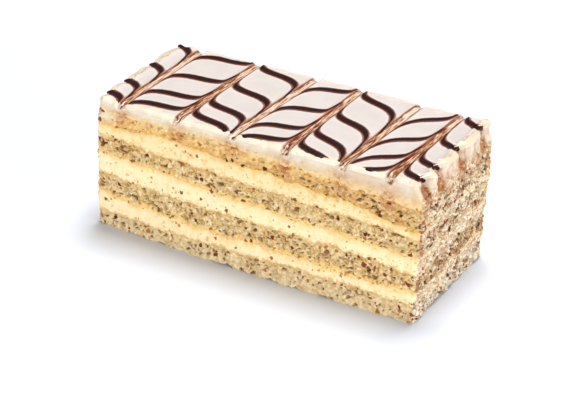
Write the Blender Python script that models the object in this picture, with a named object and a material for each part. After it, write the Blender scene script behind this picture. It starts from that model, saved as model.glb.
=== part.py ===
"""A cut slice of layered nut torte.

Four nut sponges and three butter creams lie under a fondant top that is combed and feathered
with chocolate lines. Metres, +Z up, +X along the slice, -Y to the cut front. Every layer is a
solid between two seams, and a seam is a height that varies only along the slice, so neighbouring
layers keep one thin gap wherever their cut faces wander. The base lies a little off the top. The
origin is in the middle of the underside of the overall box, to which the whole is moved at the end.
"""

import math

import bmesh
import bpy
import numpy as np
from mathutils import Matrix, Vector, noise

MM = 0.001

# The whole slice
LENGTH = 105.0 * MM
WIDTH = 44.5 * MM
HEIGHT = 42.5 * MM  # of the plain top, at mid length
TOP_TILT = 0.6 * MM  # how much higher the top is at the right end than at the left
SEAM_GAP = 0.3 * MM
BASE_BOW = 1.5 * MM  # how far the cut front and back bulge at mid length, at the base
TOP_BOW = 0.6 * MM
BASE_LEAN = -1.0 * MM  # how far the base lies along the slice from its place under the top
BASE_SPREAD = 0.5 * MM  # how much further out than that both ends of the base lie
BASE_SKEW = 1.5 * MM  # how far the base is turned to the front at the right end, and back at the left
CENTRE_SHIFT = 0.74 * MM  # along the slice, which brings the middle of the overall box to the origin
CORNER_CUT = 0.4 * MM  # how far the upright corners are worn in

# Divisions of every cut outline
COLUMNS = 42
ROWS = 18
RIM = 2 * (COLUMNS + ROWS)

# Heights of the seams in millimetres at six even stations from left to right, from the base up
SEAMS = (
    (4.6, 4.8, 5.3, 5.9, 6.5, 5.3),
    (11.3, 10.0, 9.6, 10.1, 9.8, 9.2),
    (17.9, 16.9, 16.2, 16.4, 16.8, 14.6),
    (24.8, 23.6, 22.6, 21.9, 21.2, 20.0),
    (29.8, 29.4, 28.5, 28.1, 27.1, 26.0),
    (33.2, 34.9, 34.0, 32.9, 31.2, 27.9),
)

# Cut faces
CRUMB_SIZE = 3.1 * MM
SPONGE_CRAG = 0.55 * MM
CREAM_CRAG = 0.16 * MM
SPONGE_COURSES = 4
CREAM_COURSES = 2
BASE_TUCK = 0.3 * MM  # how far the lowest crumbs stand in at the base

# Fondant: a slab on the top sponge whose rim the knife has dragged down over the cut faces
FONDANT_THICKNESS = 3.0 * MM
FONDANT_OVERHANG = 0.35 * MM
SKIRT_INSET = 1.5 * MM
SKIRT_HANG = (4.4, 4.1, 3.8, 5.4, 6.5, 7.9)  # millimetres below the top, at the same six stations
SKIRT_WAVE = 0.5 * MM
SKIRT_WAVE_ALONG = 17.0 * MM
SKIRT_WAVE_ACROSS = 11.0 * MM
LIP_RADIUS = 1.2 * MM
LIP_STEPS = 3
LIP_BACK = 2.2 * MM  # where the flat top starts, less than a column, so that the corners stay open
LOBE_HEIGHT = 0.7 * MM  # fondant pulled up between the lines at the two ends
LOBE_FLANK = 4.0 * MM  # from the middle of a line to the full height of a lobe

# Piped chocolate lines, as distances from the front before they are dragged
LINE_DISTANCES = (5.7 * MM, 14.3 * MM, 27.2 * MM, 42.3 * MM)
LINE_HALF_WIDTH = 1.3 * MM
LINE_NECK = 0.4  # the least share of its width that a line keeps where it is dragged steeply
SLOPE_STEP = 0.05 * MM
LINE_THICKNESS = 0.35 * MM  # half the depth of a line's flattened section
LINE_LIFT = 0.1 * MM  # of the section's middle above the fondant
LINE_STEPS = 10
LINE_CLEAR_OF_STROKE = 1.7 * MM
LINE_INSIDE_EDGE = 0.9 * MM
WELD_DISTANCE = 0.01 * MM

# Strokes that feather the lines, in millimetres: distance from the left end at mid width, lean over
# the width, direction (-1 is to the front), and the pull that fades fast and the one that fades slowly
STROKES = (
    (8.7, 0.0, -1, 5.8, 0.5),
    (27.7, 0.8, 1, 4.2, 0.2),
    (46.8, 2.4, -1, 8.0, 2.6),
    (62.7, 0.3, 1, 4.7, 1.2),
    (81.2, 1.8, -1, 12.8, 6.3),
    (95.0, 1.0, 1, 8.0, -0.7),
)
FAST_REACH = 2.4 * MM
SLOW_REACH = 22.0 * MM
FAN_REACH = 9.0 * MM  # how far from the left end the lines start to spread to the back
FAN_SHARE = 0.055  # how far a line has spread at the left end, as a share of its distance from the front
GROOVE_WIDTH = 2.0 * MM
GROOVE_DEPTH = 0.4 * MM

# Colours, as linear RGB, with roughness
SPONGE_LOOK = ((0.60, 0.43, 0.20, 1.0), 0.9)
CREAM_LOOK = ((0.97, 0.80, 0.48, 1.0), 0.6)
FONDANT_LOOK = ((0.80, 0.74, 0.71, 1.0), 0.25)
SHARP_ANGLE = math.radians(40)


def material(name, look):
    """A plain finish from a colour and a roughness."""
    colour, roughness = look
    made = bpy.data.materials.new(name)
    made.use_nodes = True
    shader = made.node_tree.nodes["Principled BSDF"]
    shader.inputs["Base Color"].default_value = colour
    shader.inputs["Roughness"].default_value = roughness
    shader.inputs["Metallic"].default_value = 0.0
    return made


def smooth_through(stations, x):
    """The value at x of a Catmull-Rom curve through even stations along the slice, from millimetres."""
    last = len(stations) - 1
    spot = (x / LENGTH + 0.5) * last
    step = min(max(int(spot), 0), last - 1)
    u = spot - step
    before, start, end, after = (stations[min(max(step + k, 0), last)] for k in (-1, 0, 1, 2))
    slope_in = (end - before) / 2
    slope_out = (after - start) / 2
    value = start * (1 + 2 * u) * (1 - u) ** 2 + slope_in * u * (1 - u) ** 2
    value += end * (3 - 2 * u) * u**2 - slope_out * (1 - u) * u**2
    return value * MM


def seam_height(level, x):
    """Height of a seam at x."""
    return smooth_through(SEAMS[level], x)


def top_height(x):
    """Height of the plain fondant top at x."""
    return HEIGHT + TOP_TILT * x / LENGTH


def outline_point(index):
    """Place, outward direction and corner mark of a cut outline's point, from the front left corner."""
    corners = (0, COLUMNS, COLUMNS + ROWS, 2 * COLUMNS + ROWS)
    side = max(number for number, corner in enumerate(corners) if index >= corner)
    along = index - corners[side]
    t = along / (ROWS if side % 2 else COLUMNS)
    half_x, half_y = LENGTH / 2, WIDTH / 2
    x, y, out = (
        (-half_x + LENGTH * t, -half_y, (0, -1)),
        (half_x, -half_y + WIDTH * t, (1, 0)),
        (half_x - LENGTH * t, half_y, (0, 1)),
        (-half_x, half_y - WIDTH * t, (-1, 0)),
    )[side]
    if along == 0:
        out = (math.copysign(math.sqrt(0.5), x), math.copysign(math.sqrt(0.5), y))
    return Vector((x, y, 0.0)), Vector((*out, 0.0)), along == 0


def face_push(place, corner, height):
    """How far a cut face stands out of the plain rectangle: bowed front and back, worn corners."""
    if corner:
        return -CORNER_CUT
    if abs(place.y) < WIDTH / 2 - WELD_DISTANCE:
        return 0.0
    bow = BASE_BOW + (TOP_BOW - BASE_BOW) * height / HEIGHT
    return bow * (1 - (2 * place.x / LENGTH) ** 2)


def lean(place, height):
    """How far the slice has leaned and turned at a height: not at all at the top, most at the base."""
    down = 1 - min(height / HEIGHT, 1)
    along = 2 * place.x / LENGTH
    return Vector(((BASE_LEAN + BASE_SPREAD * along) * down, -BASE_SKEW * along * down, 0.0))


def crag(place, height, depth):
    """Crumb relief on a cut face: signed noise in space at the size of the crumbs, with a finer octave."""
    spot = Vector((place.x, place.y, height)) / CRUMB_SIZE
    return depth * (noise.noise(spot) + 0.5 * noise.noise(2 * spot))


def drum(courses):
    """A cylinder in a bmesh with one side for each outline point, its wall cut into courses.

    Also returns the rings of vertices from the bottom up, each in the order of the outline.
    """
    body = bmesh.new()
    bmesh.ops.create_cone(
        body, cap_ends=True, segments=RIM, radius1=1.0, radius2=1.0, depth=1.0
    )
    uprights = [edge for edge in body.edges if edge.verts[0].co.z * edge.verts[1].co.z < 0]
    if courses > 1:
        bmesh.ops.subdivide_edges(body, edges=uprights, cuts=courses - 1)
    rings = [[None] * RIM for _ in range(courses + 1)]
    for vertex in body.verts:
        turn = math.atan2(vertex.co.y, vertex.co.x) / math.tau
        rings[round((vertex.co.z + 0.5) * courses)][round(turn * RIM) % RIM] = vertex
    return body, rings


def strip_cap(body, ring):
    """Cuts a cap from front to back at each column, so that it bends only along the slice."""
    members = set(ring)
    cap = next(face for face in body.faces if set(face.verts) == members)
    for column in range(COLUMNS - 1, 0, -1):
        front, back = ring[column], ring[2 * COLUMNS + ROWS - column]
        bmesh.utils.face_split(cap, front, back)
        cap = next(face for face in front.link_faces if {ring[0], back} <= set(face.verts))


def finish(name, body, look, collection):
    """Turns a bmesh into a smooth-shaded object with its own finish."""
    mesh = bpy.data.meshes.new(name)
    body.to_mesh(mesh)
    body.free()
    mesh.shade_smooth()
    mesh.set_sharp_from_angle(angle=SHARP_ANGLE)
    mesh.materials.append(material(name, look))
    made = bpy.data.objects.new(name, mesh)
    collection.objects.link(made)
    return made


def layer(name, look, levels, courses, depth, collection):
    """A sponge or a cream between two seams, with crumb relief on its cut sides.

    The levels are the seams below and above, and the one below is None for the bottom sponge.
    """
    below, above = levels
    body, rings = drum(courses)
    for course, ring in enumerate(rings):
        for index, vertex in enumerate(ring):
            place, out, corner = outline_point(index)
            low = 0.0 if below is None else seam_height(below, place.x) + SEAM_GAP / 2
            high = seam_height(above, place.x) - SEAM_GAP / 2
            height = low + (high - low) * course / courses
            push = face_push(place, corner, height) + crag(place, height, depth)
            if below is None and course == 0:
                push -= BASE_TUCK
            vertex.co = place + out * push + lean(place, height)
            vertex.co.z = height
    strip_cap(body, rings[0])
    strip_cap(body, rings[-1])
    return finish(name, body, look, collection)


def skirt_height(place):
    """Height of the dragged lower edge of the fondant on the cut faces, with a slow wave each way."""
    along = math.sin(math.tau * place.x / SKIRT_WAVE_ALONG)
    across = math.sin(math.tau * place.y / SKIRT_WAVE_ACROSS)
    return top_height(place.x) - smooth_through(SKIRT_HANG, place.x) + SKIRT_WAVE * (along + across) / 2


def lobe(place):
    """Height of the fondant pulled up at the two ends, between the chocolate lines."""
    if abs(place.x) < LENGTH / 2 - WELD_DISTANCE:
        return 0.0
    nearest = min(abs(place.y + WIDTH / 2 - line) for line in LINE_DISTANCES)
    return LOBE_HEIGHT * min(1.0, nearest / LOBE_FLANK)


def top_sponge(name, look, collection):
    """The top sponge: a layer whose upper rim is cut away on a slope, under the dragged fondant."""
    body, rings = drum(SPONGE_COURSES)
    edge = SPONGE_COURSES - 1
    for course, ring in enumerate(rings):
        for index, vertex in enumerate(ring):
            place, out, corner = outline_point(index)
            low = seam_height(len(SEAMS) - 1, place.x) + SEAM_GAP / 2
            high = skirt_height(place) - SEAM_GAP
            height = low + (high - low) * min(1.0, course / edge)
            relief = crag(place, height, SPONGE_CRAG)
            if course == edge:  # under the fondant's edge the crumbs only stand in
                relief = -abs(relief)
            if course > edge:
                height = top_height(place.x) - FONDANT_THICKNESS - SEAM_GAP
                relief = -SKIRT_INSET - 2 * SEAM_GAP
            vertex.co = place + out * (face_push(place, corner, height) + relief) + lean(place, height)
            vertex.co.z = height
    strip_cap(body, rings[0])
    strip_cap(body, rings[-1])
    return finish(name, body, look, collection)


def fondant_rings():
    """The fondant's rim from under its slab, over the dragged edge and the lip, to the flat top.

    Each ring is an inset from the cut face and a rule for its height.
    """
    rings = [
        (SKIRT_INSET, lambda place: top_height(place.x) - FONDANT_THICKNESS),
        (0.0, skirt_height),
        (-FONDANT_OVERHANG, lambda place: (skirt_height(place) + top_height(place.x)) / 2),
    ]
    for step in range(LIP_STEPS + 1):
        turn = math.pi / 2 * step / LIP_STEPS
        inset = LIP_RADIUS * (1 - math.cos(turn)) - FONDANT_OVERHANG

        def lip_height(place, share=math.sin(turn)):
            return top_height(place.x) - LIP_RADIUS * (1 - share) + lobe(place) * share

        rings.append((inset, lip_height))
    rings.append((LIP_BACK, lambda place: top_height(place.x)))
    return rings


def fondant_body(name, look, collection):
    """The plain fondant, before it is combed and the lines are laid on it."""
    profile = fondant_rings()
    body, rings = drum(len(profile) - 1)
    for (inset, height_at), ring in zip(profile, rings):
        for index, vertex in enumerate(ring):
            place, out, corner = outline_point(index)
            height = height_at(place)
            reach = inset * (math.sqrt(2) if corner else 1.0)
            vertex.co = place + out * (face_push(place, corner, height) - reach) + lean(place, height)
            vertex.co.z = height
    strip_cap(body, rings[0])
    return finish(name, body, look, collection)


def stroke_x(stroke, y):
    """Where a stroke crosses the slice at y: it leans a little over the width."""
    start, tilt = STROKES[stroke][:2]
    return start * MM - LENGTH / 2 + tilt * MM * y / WIDTH


def comb_tilt(x):
    """Lean of the combing over the width at x along mid width, between those of the strokes."""
    starts = [start * MM - LENGTH / 2 for start, *_ in STROKES]
    tilts = [tilt * MM for _, tilt, *_ in STROKES]
    return float(np.interp(x, starts, tilts))


def dragged(x):
    """How far the strokes drag a line along the width at x along mid width, fading off from each."""
    total = 0.0
    for stroke, (_, _, direction, fast, slow) in enumerate(STROKES):
        gap = abs(x - stroke_x(stroke, 0.0))
        total += direction * MM * (fast * math.exp(-gap / FAST_REACH) + slow * math.exp(-gap / SLOW_REACH))
    return total


def line_place(x, distance):
    """Where a line lies across the slice at x along mid width: dragged, and spread at the left end."""
    spread = max(0.0, 1 - (x + LENGTH / 2) / FAN_REACH)
    return distance - WIDTH / 2 + dragged(x) + FAN_SHARE * spread * distance


def line_runs(distance):
    """The stretches of one chocolate line between neighbouring strokes.

    Each is a list of points on the top with the line's half width there.
    """
    reach = LENGTH / 2 + LINE_CLEAR_OF_STROKE - LINE_INSIDE_EDGE
    stops = [-reach, *(stroke_x(stroke, 0.0) for stroke in range(len(STROKES))), reach]
    limit = WIDTH / 2 - LINE_INSIDE_EDGE
    for left, right in zip(stops[:-1], stops[1:]):
        start, end = left + LINE_CLEAR_OF_STROKE, right - LINE_CLEAR_OF_STROKE
        run = []
        for step in range(LINE_STEPS + 1):
            # points gather towards the strokes, where the line bends most
            t = (1 - math.cos(math.pi * step / LINE_STEPS)) / 2
            along = start + (end - start) * t
            y = line_place(along, distance)
            x = along + comb_tilt(along) * y / WIDTH
            slope = (line_place(along + SLOPE_STEP, distance) - y) / SLOPE_STEP
            fullness = max(LINE_NECK, 1 / math.hypot(1, slope))
            if abs(y) < limit:
                run.append((x, y, LINE_HALF_WIDTH * fullness))
        if len(run) > 2:
            yield run


def line_tube(name, run, collection):
    """One stretch of chocolate: a flattened tube half sunk in the fondant, as a closed mesh."""
    curve = bpy.data.curves.new(name, "CURVE")
    curve.dimensions = "3D"
    curve.bevel_depth = LINE_HALF_WIDTH
    curve.bevel_resolution = 1
    curve.use_fill_caps = True
    spline = curve.splines.new("POLY")
    spline.points.add(len(run) - 1)
    for point, (x, y, half_width) in zip(spline.points, run):
        point.co = (x, y, 0.0, 1.0)
        point.radius = half_width / LINE_HALF_WIDTH
    guide = bpy.data.objects.new(name + "_guide", curve)
    collection.objects.link(guide)
    bpy.context.view_layer.update()
    graph = bpy.context.evaluated_depsgraph_get()
    mesh = bpy.data.meshes.new_from_object(guide.evaluated_get(graph))
    bpy.data.objects.remove(guide)
    body = bmesh.new()
    body.from_mesh(mesh)
    bmesh.ops.remove_doubles(body, verts=body.verts, dist=WELD_DISTANCE)
    for vertex in body.verts:
        vertex.co.z *= LINE_THICKNESS / LINE_HALF_WIDTH
        vertex.co.z += top_height(vertex.co.x) + LINE_LIFT
    body.to_mesh(mesh)
    body.free()
    tube = bpy.data.objects.new(name, mesh)
    collection.objects.link(tube)
    return tube


def groove_bar(name, stroke, collection):
    """A flattened round bar that combs one shallow groove across the whole top.

    It is twice as tall as it is sunk, so it clears the lobes and meets the top at the groove's width.
    """
    bpy.ops.mesh.primitive_cylinder_add(vertices=12, radius=1.0, depth=1.3 * WIDTH)
    bar = bpy.context.object
    bar.name = name
    for vertex in bar.data.vertices:
        across, up, along = vertex.co.x, vertex.co.y, -vertex.co.z
        x = stroke_x(stroke, along)
        half_width = GROOVE_WIDTH / math.sqrt(3)
        vertex.co = (x + half_width * across, along, top_height(x) + GROOVE_DEPTH * (1 + 2 * up))
    for holder in list(bar.users_collection):
        holder.objects.unlink(bar)
    collection.objects.link(bar)
    return bar


def combine(target, helpers, operation):
    """Applies one Boolean of a whole collection to the target, then removes the collection's objects."""
    modifier = target.modifiers.new(operation.title(), "BOOLEAN")
    modifier.operation = operation
    modifier.operand_type = "COLLECTION"
    modifier.collection = helpers
    modifier.solver = "MANIFOLD"  # the exact solver leaves open edges where a line meets a lobe
    bpy.context.view_layer.update()
    graph = bpy.context.evaluated_depsgraph_get()
    mesh = bpy.data.meshes.new_from_object(target.evaluated_get(graph))
    target.modifiers.clear()
    target.data = mesh
    for helper in list(helpers.objects):
        bpy.data.objects.remove(helper)


def feathered_fondant(name, look, collection, helpers):
    """The fondant with its stroke grooves cut and the chocolate lines joined on."""
    icing = fondant_body(name, look, collection)
    for stroke in range(len(STROKES)):
        groove_bar(f"groove_{stroke}", stroke, helpers)
    combine(icing, helpers, "DIFFERENCE")
    for line, distance in enumerate(LINE_DISTANCES):
        for count, run in enumerate(line_runs(distance)):
            line_tube(f"line_{line}_{count}", run, helpers)
    combine(icing, helpers, "UNION")
    return icing


def main():
    """Builds the eight layers from the base up."""
    for leftover in list(bpy.data.objects):
        bpy.data.objects.remove(leftover)
    slice_parts = bpy.data.collections.new("nut_torte_slice")
    helpers = bpy.data.collections.new("cutters_and_lines")
    bpy.context.scene.collection.children.link(slice_parts)
    bpy.context.scene.collection.children.link(helpers)
    for number in range(3):
        below, middle, above = 2 * number - 1, 2 * number, 2 * number + 1
        sponge_levels = (below if number else None, middle)
        sponge = f"nut_sponge_{number + 1}"
        cream = f"butter_cream_{number + 1}"
        layer(sponge, SPONGE_LOOK, sponge_levels, SPONGE_COURSES, SPONGE_CRAG, slice_parts)
        layer(cream, CREAM_LOOK, (middle, above), CREAM_COURSES, CREAM_CRAG, slice_parts)
    top_sponge("nut_sponge_4", SPONGE_LOOK, slice_parts)
    feathered_fondant("fondant_icing", FONDANT_LOOK, slice_parts, helpers)
    bpy.data.collections.remove(helpers)
    for part in slice_parts.objects:
        part.data.transform(Matrix.Translation((CENTRE_SHIFT, 0.0, 0.0)))


main()
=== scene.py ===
"""Looks of a cut slice of layered nut torte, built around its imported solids.

Each layer's solid is replaced by a fine surface that numpy works out: a wall of points carried round
the cut outline, roughened by seeded noise, and closed by strips from front to back. The fondant is one
such surface with a gridded top, and the piped chocolate is a flattened profile carried along each
dragged line. Lengths are in millimetres until a mesh is made, where they turn to metres.
+X runs along the slice, -Y is the cut front and +Z is up.
"""

import logging
import math
from dataclasses import dataclass, field
from enum import Enum, IntEnum
from typing import Any, Iterable, Sequence

import bpy
import numpy as np
from mathutils import Matrix, Vector


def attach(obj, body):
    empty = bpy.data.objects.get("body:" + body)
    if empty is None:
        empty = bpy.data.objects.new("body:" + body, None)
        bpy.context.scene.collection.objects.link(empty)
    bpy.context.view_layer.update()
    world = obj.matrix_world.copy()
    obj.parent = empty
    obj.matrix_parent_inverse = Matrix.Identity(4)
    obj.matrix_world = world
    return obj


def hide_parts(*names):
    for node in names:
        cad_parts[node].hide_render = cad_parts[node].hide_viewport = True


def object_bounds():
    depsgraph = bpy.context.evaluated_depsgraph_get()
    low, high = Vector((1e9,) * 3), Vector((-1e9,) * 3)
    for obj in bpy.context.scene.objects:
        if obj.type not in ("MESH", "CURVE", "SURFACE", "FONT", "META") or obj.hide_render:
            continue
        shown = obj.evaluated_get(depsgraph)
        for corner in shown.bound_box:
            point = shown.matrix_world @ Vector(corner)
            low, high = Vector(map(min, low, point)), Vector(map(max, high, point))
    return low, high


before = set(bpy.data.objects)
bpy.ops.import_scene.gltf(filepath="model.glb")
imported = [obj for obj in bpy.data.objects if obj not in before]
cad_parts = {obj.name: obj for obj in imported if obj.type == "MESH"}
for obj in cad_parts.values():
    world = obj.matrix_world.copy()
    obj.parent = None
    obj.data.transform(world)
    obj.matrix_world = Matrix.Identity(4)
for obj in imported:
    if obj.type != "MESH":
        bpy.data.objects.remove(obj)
CAD_BOX = [list(corner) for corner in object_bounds()]

Array = np.ndarray
LOG = logging.getLogger("nut_torte_slice")
BODY = "root"
MM = 0.001
# How far the slice's own origin lies from the frame's, which is under the middle of the solids' box.
CENTRE_SHIFT = np.array([0.74, 0.0, 0.0])
# A distance in millimetres that is out of reach of every margin and fringe in the finishes.
FAR = 9.0


# --- Tools: noise, meshes and materials ---


# The turn of the noise's cells against the slice.
LATTICE_TURN = np.array(Matrix.Rotation(0.9, 3, Vector((1.0, 0.7, 0.4))))


def smoothstep(low: float, high: float, value: Array) -> Array:
    """Rises from 0 at low to 1 at high with level ends: 3t^2 - 2t^3 of the share t between them."""
    share = np.clip((value - low) / (high - low), 0.0, 1.0)
    return share * share * (3.0 - 2.0 * share)


@dataclass(frozen=True)
class Grain:
    """Seeded noise in space, worked out for whole arrays of points.

    Its lattice is turned by LATTICE_TURN, so that no face of the slice lies along the cells.
    """

    seed: int

    def lattice(self, x: Array, y: Array, z: Array, salt: int = 0) -> Array:
        """Draws one value from 0 to 1 for each whole-numbered cell by mixing the bits of its place.

        Args:
            x, y, z: Whole-numbered places, in arrays of one shape.
            salt: Picks one of several unrelated draws.

        Returns:
            The values, in an array of the same shape.
        """
        mask = 0xFFFFFFFF
        mixed = (x * 73856093) ^ (y * 19349663) ^ (z * 83492791) ^ (
            (self.seed * 977 + salt) * 2654435761
        )
        mixed &= mask
        for _ in range(2):
            mixed = ((mixed ^ (mixed >> 16)) * 0x45D9F3B) & mask
        return (mixed ^ (mixed >> 16)) / mask

    def smooth(self, points: Array, size: float, salt: int = 0) -> Array:
        """Blends the draws at the eight corners round each point, eased along each axis by the
        polynomial 6t^5 - 15t^4 + 10t^3.

        Args:
            points: Points in millimetres, with their coordinates on the last axis.
            size: Size of a cell in millimetres.
            salt: Picks one of several unrelated noises.

        Returns:
            Noise from -1 to 1 at each point.
        """
        place = points @ LATTICE_TURN / size
        cell = np.floor(place).astype(np.int64)
        share = place - cell
        share = share**3 * (share * (6.0 * share - 15.0) + 10.0)
        total = np.zeros(points.shape[:-1])
        for step in np.ndindex(2, 2, 2):
            weight = np.prod(np.where(np.array(step), share, 1.0 - share), axis=-1)
            x, y, z = (cell[..., axis] + step[axis] for axis in range(3))
            total += weight * self.lattice(x, y, z, salt)
        return 2.0 * total - 1.0

    def layered(self, points: Array, size: float, octaves: int = 3, salt: int = 0) -> Array:
        """Adds noises of halving size and halving weight, and divides by the sum of the weights."""
        total = sum(self.smooth(points, size / 2**k, salt + k) / 2**k for k in range(octaves))
        return total / sum(0.5**k for k in range(octaves))

    def cells(self, points: Array, size: float, salt: int = 0) -> tuple[Array, Array]:
        """Finds the nearest of the seeds that lie one to a cell, at a drawn place inside it.

        Args:
            points: Points in millimetres, with their coordinates on the last axis.
            size: Size of a cell in millimetres.
            salt: Picks one of several unrelated sets of seeds.

        Returns:
            The distance to the nearest seed in cell sizes, and that seed's own draw from 0 to 1.
        """
        place = points @ LATTICE_TURN / size
        cell = np.floor(place).astype(np.int64)
        nearest = np.full(points.shape[:-1], np.inf)
        draw = np.zeros(points.shape[:-1])
        for step in np.ndindex(3, 3, 3):
            x, y, z = (cell[..., axis] + step[axis] - 1 for axis in range(3))
            gap = np.zeros(points.shape[:-1])
            for axis, corner in enumerate((x, y, z)):
                gap += (corner + self.lattice(x, y, z, salt + axis + 1) - place[..., axis]) ** 2
            closer = gap < nearest
            nearest = np.where(closer, gap, nearest)
            draw = np.where(closer, self.lattice(x, y, z, salt + 9), draw)
        return np.sqrt(nearest), draw


@dataclass
class Skin:
    """Points, faces and named point values of one piece, in millimetres."""

    points: Array
    quads: Array
    triangles: Array = field(default_factory=lambda: np.zeros((0, 3), np.int64))
    values: dict[str, Array] = field(default_factory=dict)

    def make(self, name: str, material: bpy.types.Material) -> bpy.types.Object:
        """Puts the points and faces into a mesh in metres and links its object.

        Args:
            name: Name of the object and of its mesh.
            material: The finish of the whole piece.

        Returns:
            The new object at the origin, smooth shaded but for edges sharper than 75 degrees.
        """
        corners = np.concatenate([self.quads.ravel(), self.triangles.ravel()])
        counts = np.concatenate([np.full(len(self.quads), 4), np.full(len(self.triangles), 3)])
        starts = np.concatenate([[0], np.cumsum(counts)[:-1]])
        mesh = bpy.data.meshes.new(name)
        mesh.vertices.add(len(self.points))
        mesh.vertices.foreach_set("co", ((self.points + CENTRE_SHIFT) * MM).astype(np.float32).ravel())
        mesh.loops.add(len(corners))
        mesh.loops.foreach_set("vertex_index", corners.astype(np.int32))
        mesh.polygons.add(len(counts))
        mesh.polygons.foreach_set("loop_start", starts.astype(np.int32))
        mesh.update(calc_edges=True)
        for label, value in self.values.items():
            store = mesh.attributes.new(label, "FLOAT", "POINT")
            store.data.foreach_set("value", value.astype(np.float32).ravel())
        mesh.shade_smooth()
        mesh.set_sharp_from_angle(angle=math.radians(75.0))
        mesh.materials.append(material)
        piece = bpy.data.objects.new(name, mesh)
        bpy.context.scene.collection.objects.link(piece)
        return piece


def tube_quads(rings: int, count: int) -> Array:
    """Joins each ring of points to the next, closed round the ring.

    Args:
        rings: How many rings there are.
        count: How many points each ring has.

    Returns:
        Four point numbers for each face. They face out where a ring turns counter-clockwise seen
        from the side of the last ring.
    """
    ring, spot = np.meshgrid(np.arange(rings - 1), np.arange(count), indexing="ij")
    after = (spot + 1) % count
    low, high = ring * count, (ring + 1) * count
    return np.stack([low + spot, low + after, high + after, high + spot], axis=-1).reshape(-1, 4)


def strip_cap(first: int, count: int, upward: bool) -> tuple[Array, Array]:
    """Closes a ring that starts at the middle of the left end with strips from front to back.

    Args:
        first: Number of the ring's first point.
        count: How many points the ring has.
        upward: Whether the cap faces up.

    Returns:
        The strips as quads, and the two end triangles.
    """
    front = np.arange(1, count // 2 - 1)
    quads = np.stack([front, count - front, count - front - 1, front + 1], axis=-1) + first
    middle = count // 2
    triangles = np.array([[0, count - 1, 1], [middle - 1, middle + 1, middle]]) + first
    if upward:
        quads, triangles = quads[:, ::-1], triangles[:, ::-1]
    return quads, triangles


def linear(hex_colour: str) -> tuple[float, float, float, float]:
    """Turns an sRGB hex colour into a linear one by the sRGB curve.

    Args:
        hex_colour: Six hex digits.

    Returns:
        Linear red, green and blue, and an alpha of 1.
    """
    channels = (int(hex_colour[start : start + 2], 16) / 255 for start in (0, 2, 4))
    red, green, blue = (c / 12.92 if c <= 0.04045 else ((c + 0.055) / 1.055) ** 2.4 for c in channels)
    return red, green, blue, 1.0


def per_mm(size: float) -> float:
    """A texture's scale where one of its cells measures size in millimetres."""
    return 1.0 / (size * MM)


class Axis(IntEnum):
    """The axes: along the slice, across it and up."""

    X = 0
    Y = 1
    Z = 2


class Node(Enum):
    """The kinds of shader node in use.

    Each has Blender's name, its fixed settings, its inputs in the order in which Finish.add() takes
    their values, and the output that it hands back.
    """

    PLACE = ("ShaderNodeTexCoord", {}, (), "Object")
    VALUE = ("ShaderNodeAttribute", {}, (), "Fac")
    AXES = ("ShaderNodeSeparateXYZ", {}, (0,), 0)
    VECTOR = ("ShaderNodeCombineXYZ", {}, (0, 1), 0)
    CHANNELS = ("ShaderNodeSeparateColor", {}, (0,), 0)
    STRETCH = ("ShaderNodeMapping", {}, ("Scale", "Vector"), 0)
    MOVE = ("ShaderNodeVectorMath", {"operation": "MULTIPLY_ADD"}, (0, 1, 2), 0)
    NOISE = ("ShaderNodeTexNoise", {}, ("Scale", "Detail", "Roughness", "Vector"), "Fac")
    CELLS = ("ShaderNodeTexVoronoi", {}, ("Scale", "Vector"), "Distance")
    CELL_EDGES = (
        "ShaderNodeTexVoronoi", {"feature": "DISTANCE_TO_EDGE"}, ("Scale", "Vector"), "Distance"
    )
    RANGE = ("ShaderNodeMapRange", {"interpolation_type": "SMOOTHSTEP"}, (0, 1, 2, 3, 4), 0)
    RAMP = ("ShaderNodeValToRGB", {}, (0,), 0)
    MIX = ("ShaderNodeMix", {"data_type": "RGBA"}, (0, 6, 7), 2)
    BUMP = ("ShaderNodeBump", {}, ("Height", "Distance", "Strength"), "Normal")
    ADD = ("ShaderNodeMath", {"operation": "ADD"}, (0, 1), 0)
    SUBTRACT = ("ShaderNodeMath", {"operation": "SUBTRACT"}, (0, 1), 0)
    MULTIPLY = ("ShaderNodeMath", {"operation": "MULTIPLY"}, (0, 1), 0)
    MULTIPLY_ADD = ("ShaderNodeMath", {"operation": "MULTIPLY_ADD"}, (0, 1, 2), 0)
    POWER = ("ShaderNodeMath", {"operation": "POWER"}, (0, 1), 0)
    MAXIMUM = ("ShaderNodeMath", {"operation": "MAXIMUM"}, (0, 1), 0)

    def __init__(
        self, kind: str, settings: dict[str, Any], inputs: tuple[Any, ...], output: Any
    ) -> None:
        """Names the four parts of the member."""
        self.kind, self.settings, self.inputs, self.output = kind, settings, inputs, output


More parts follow.
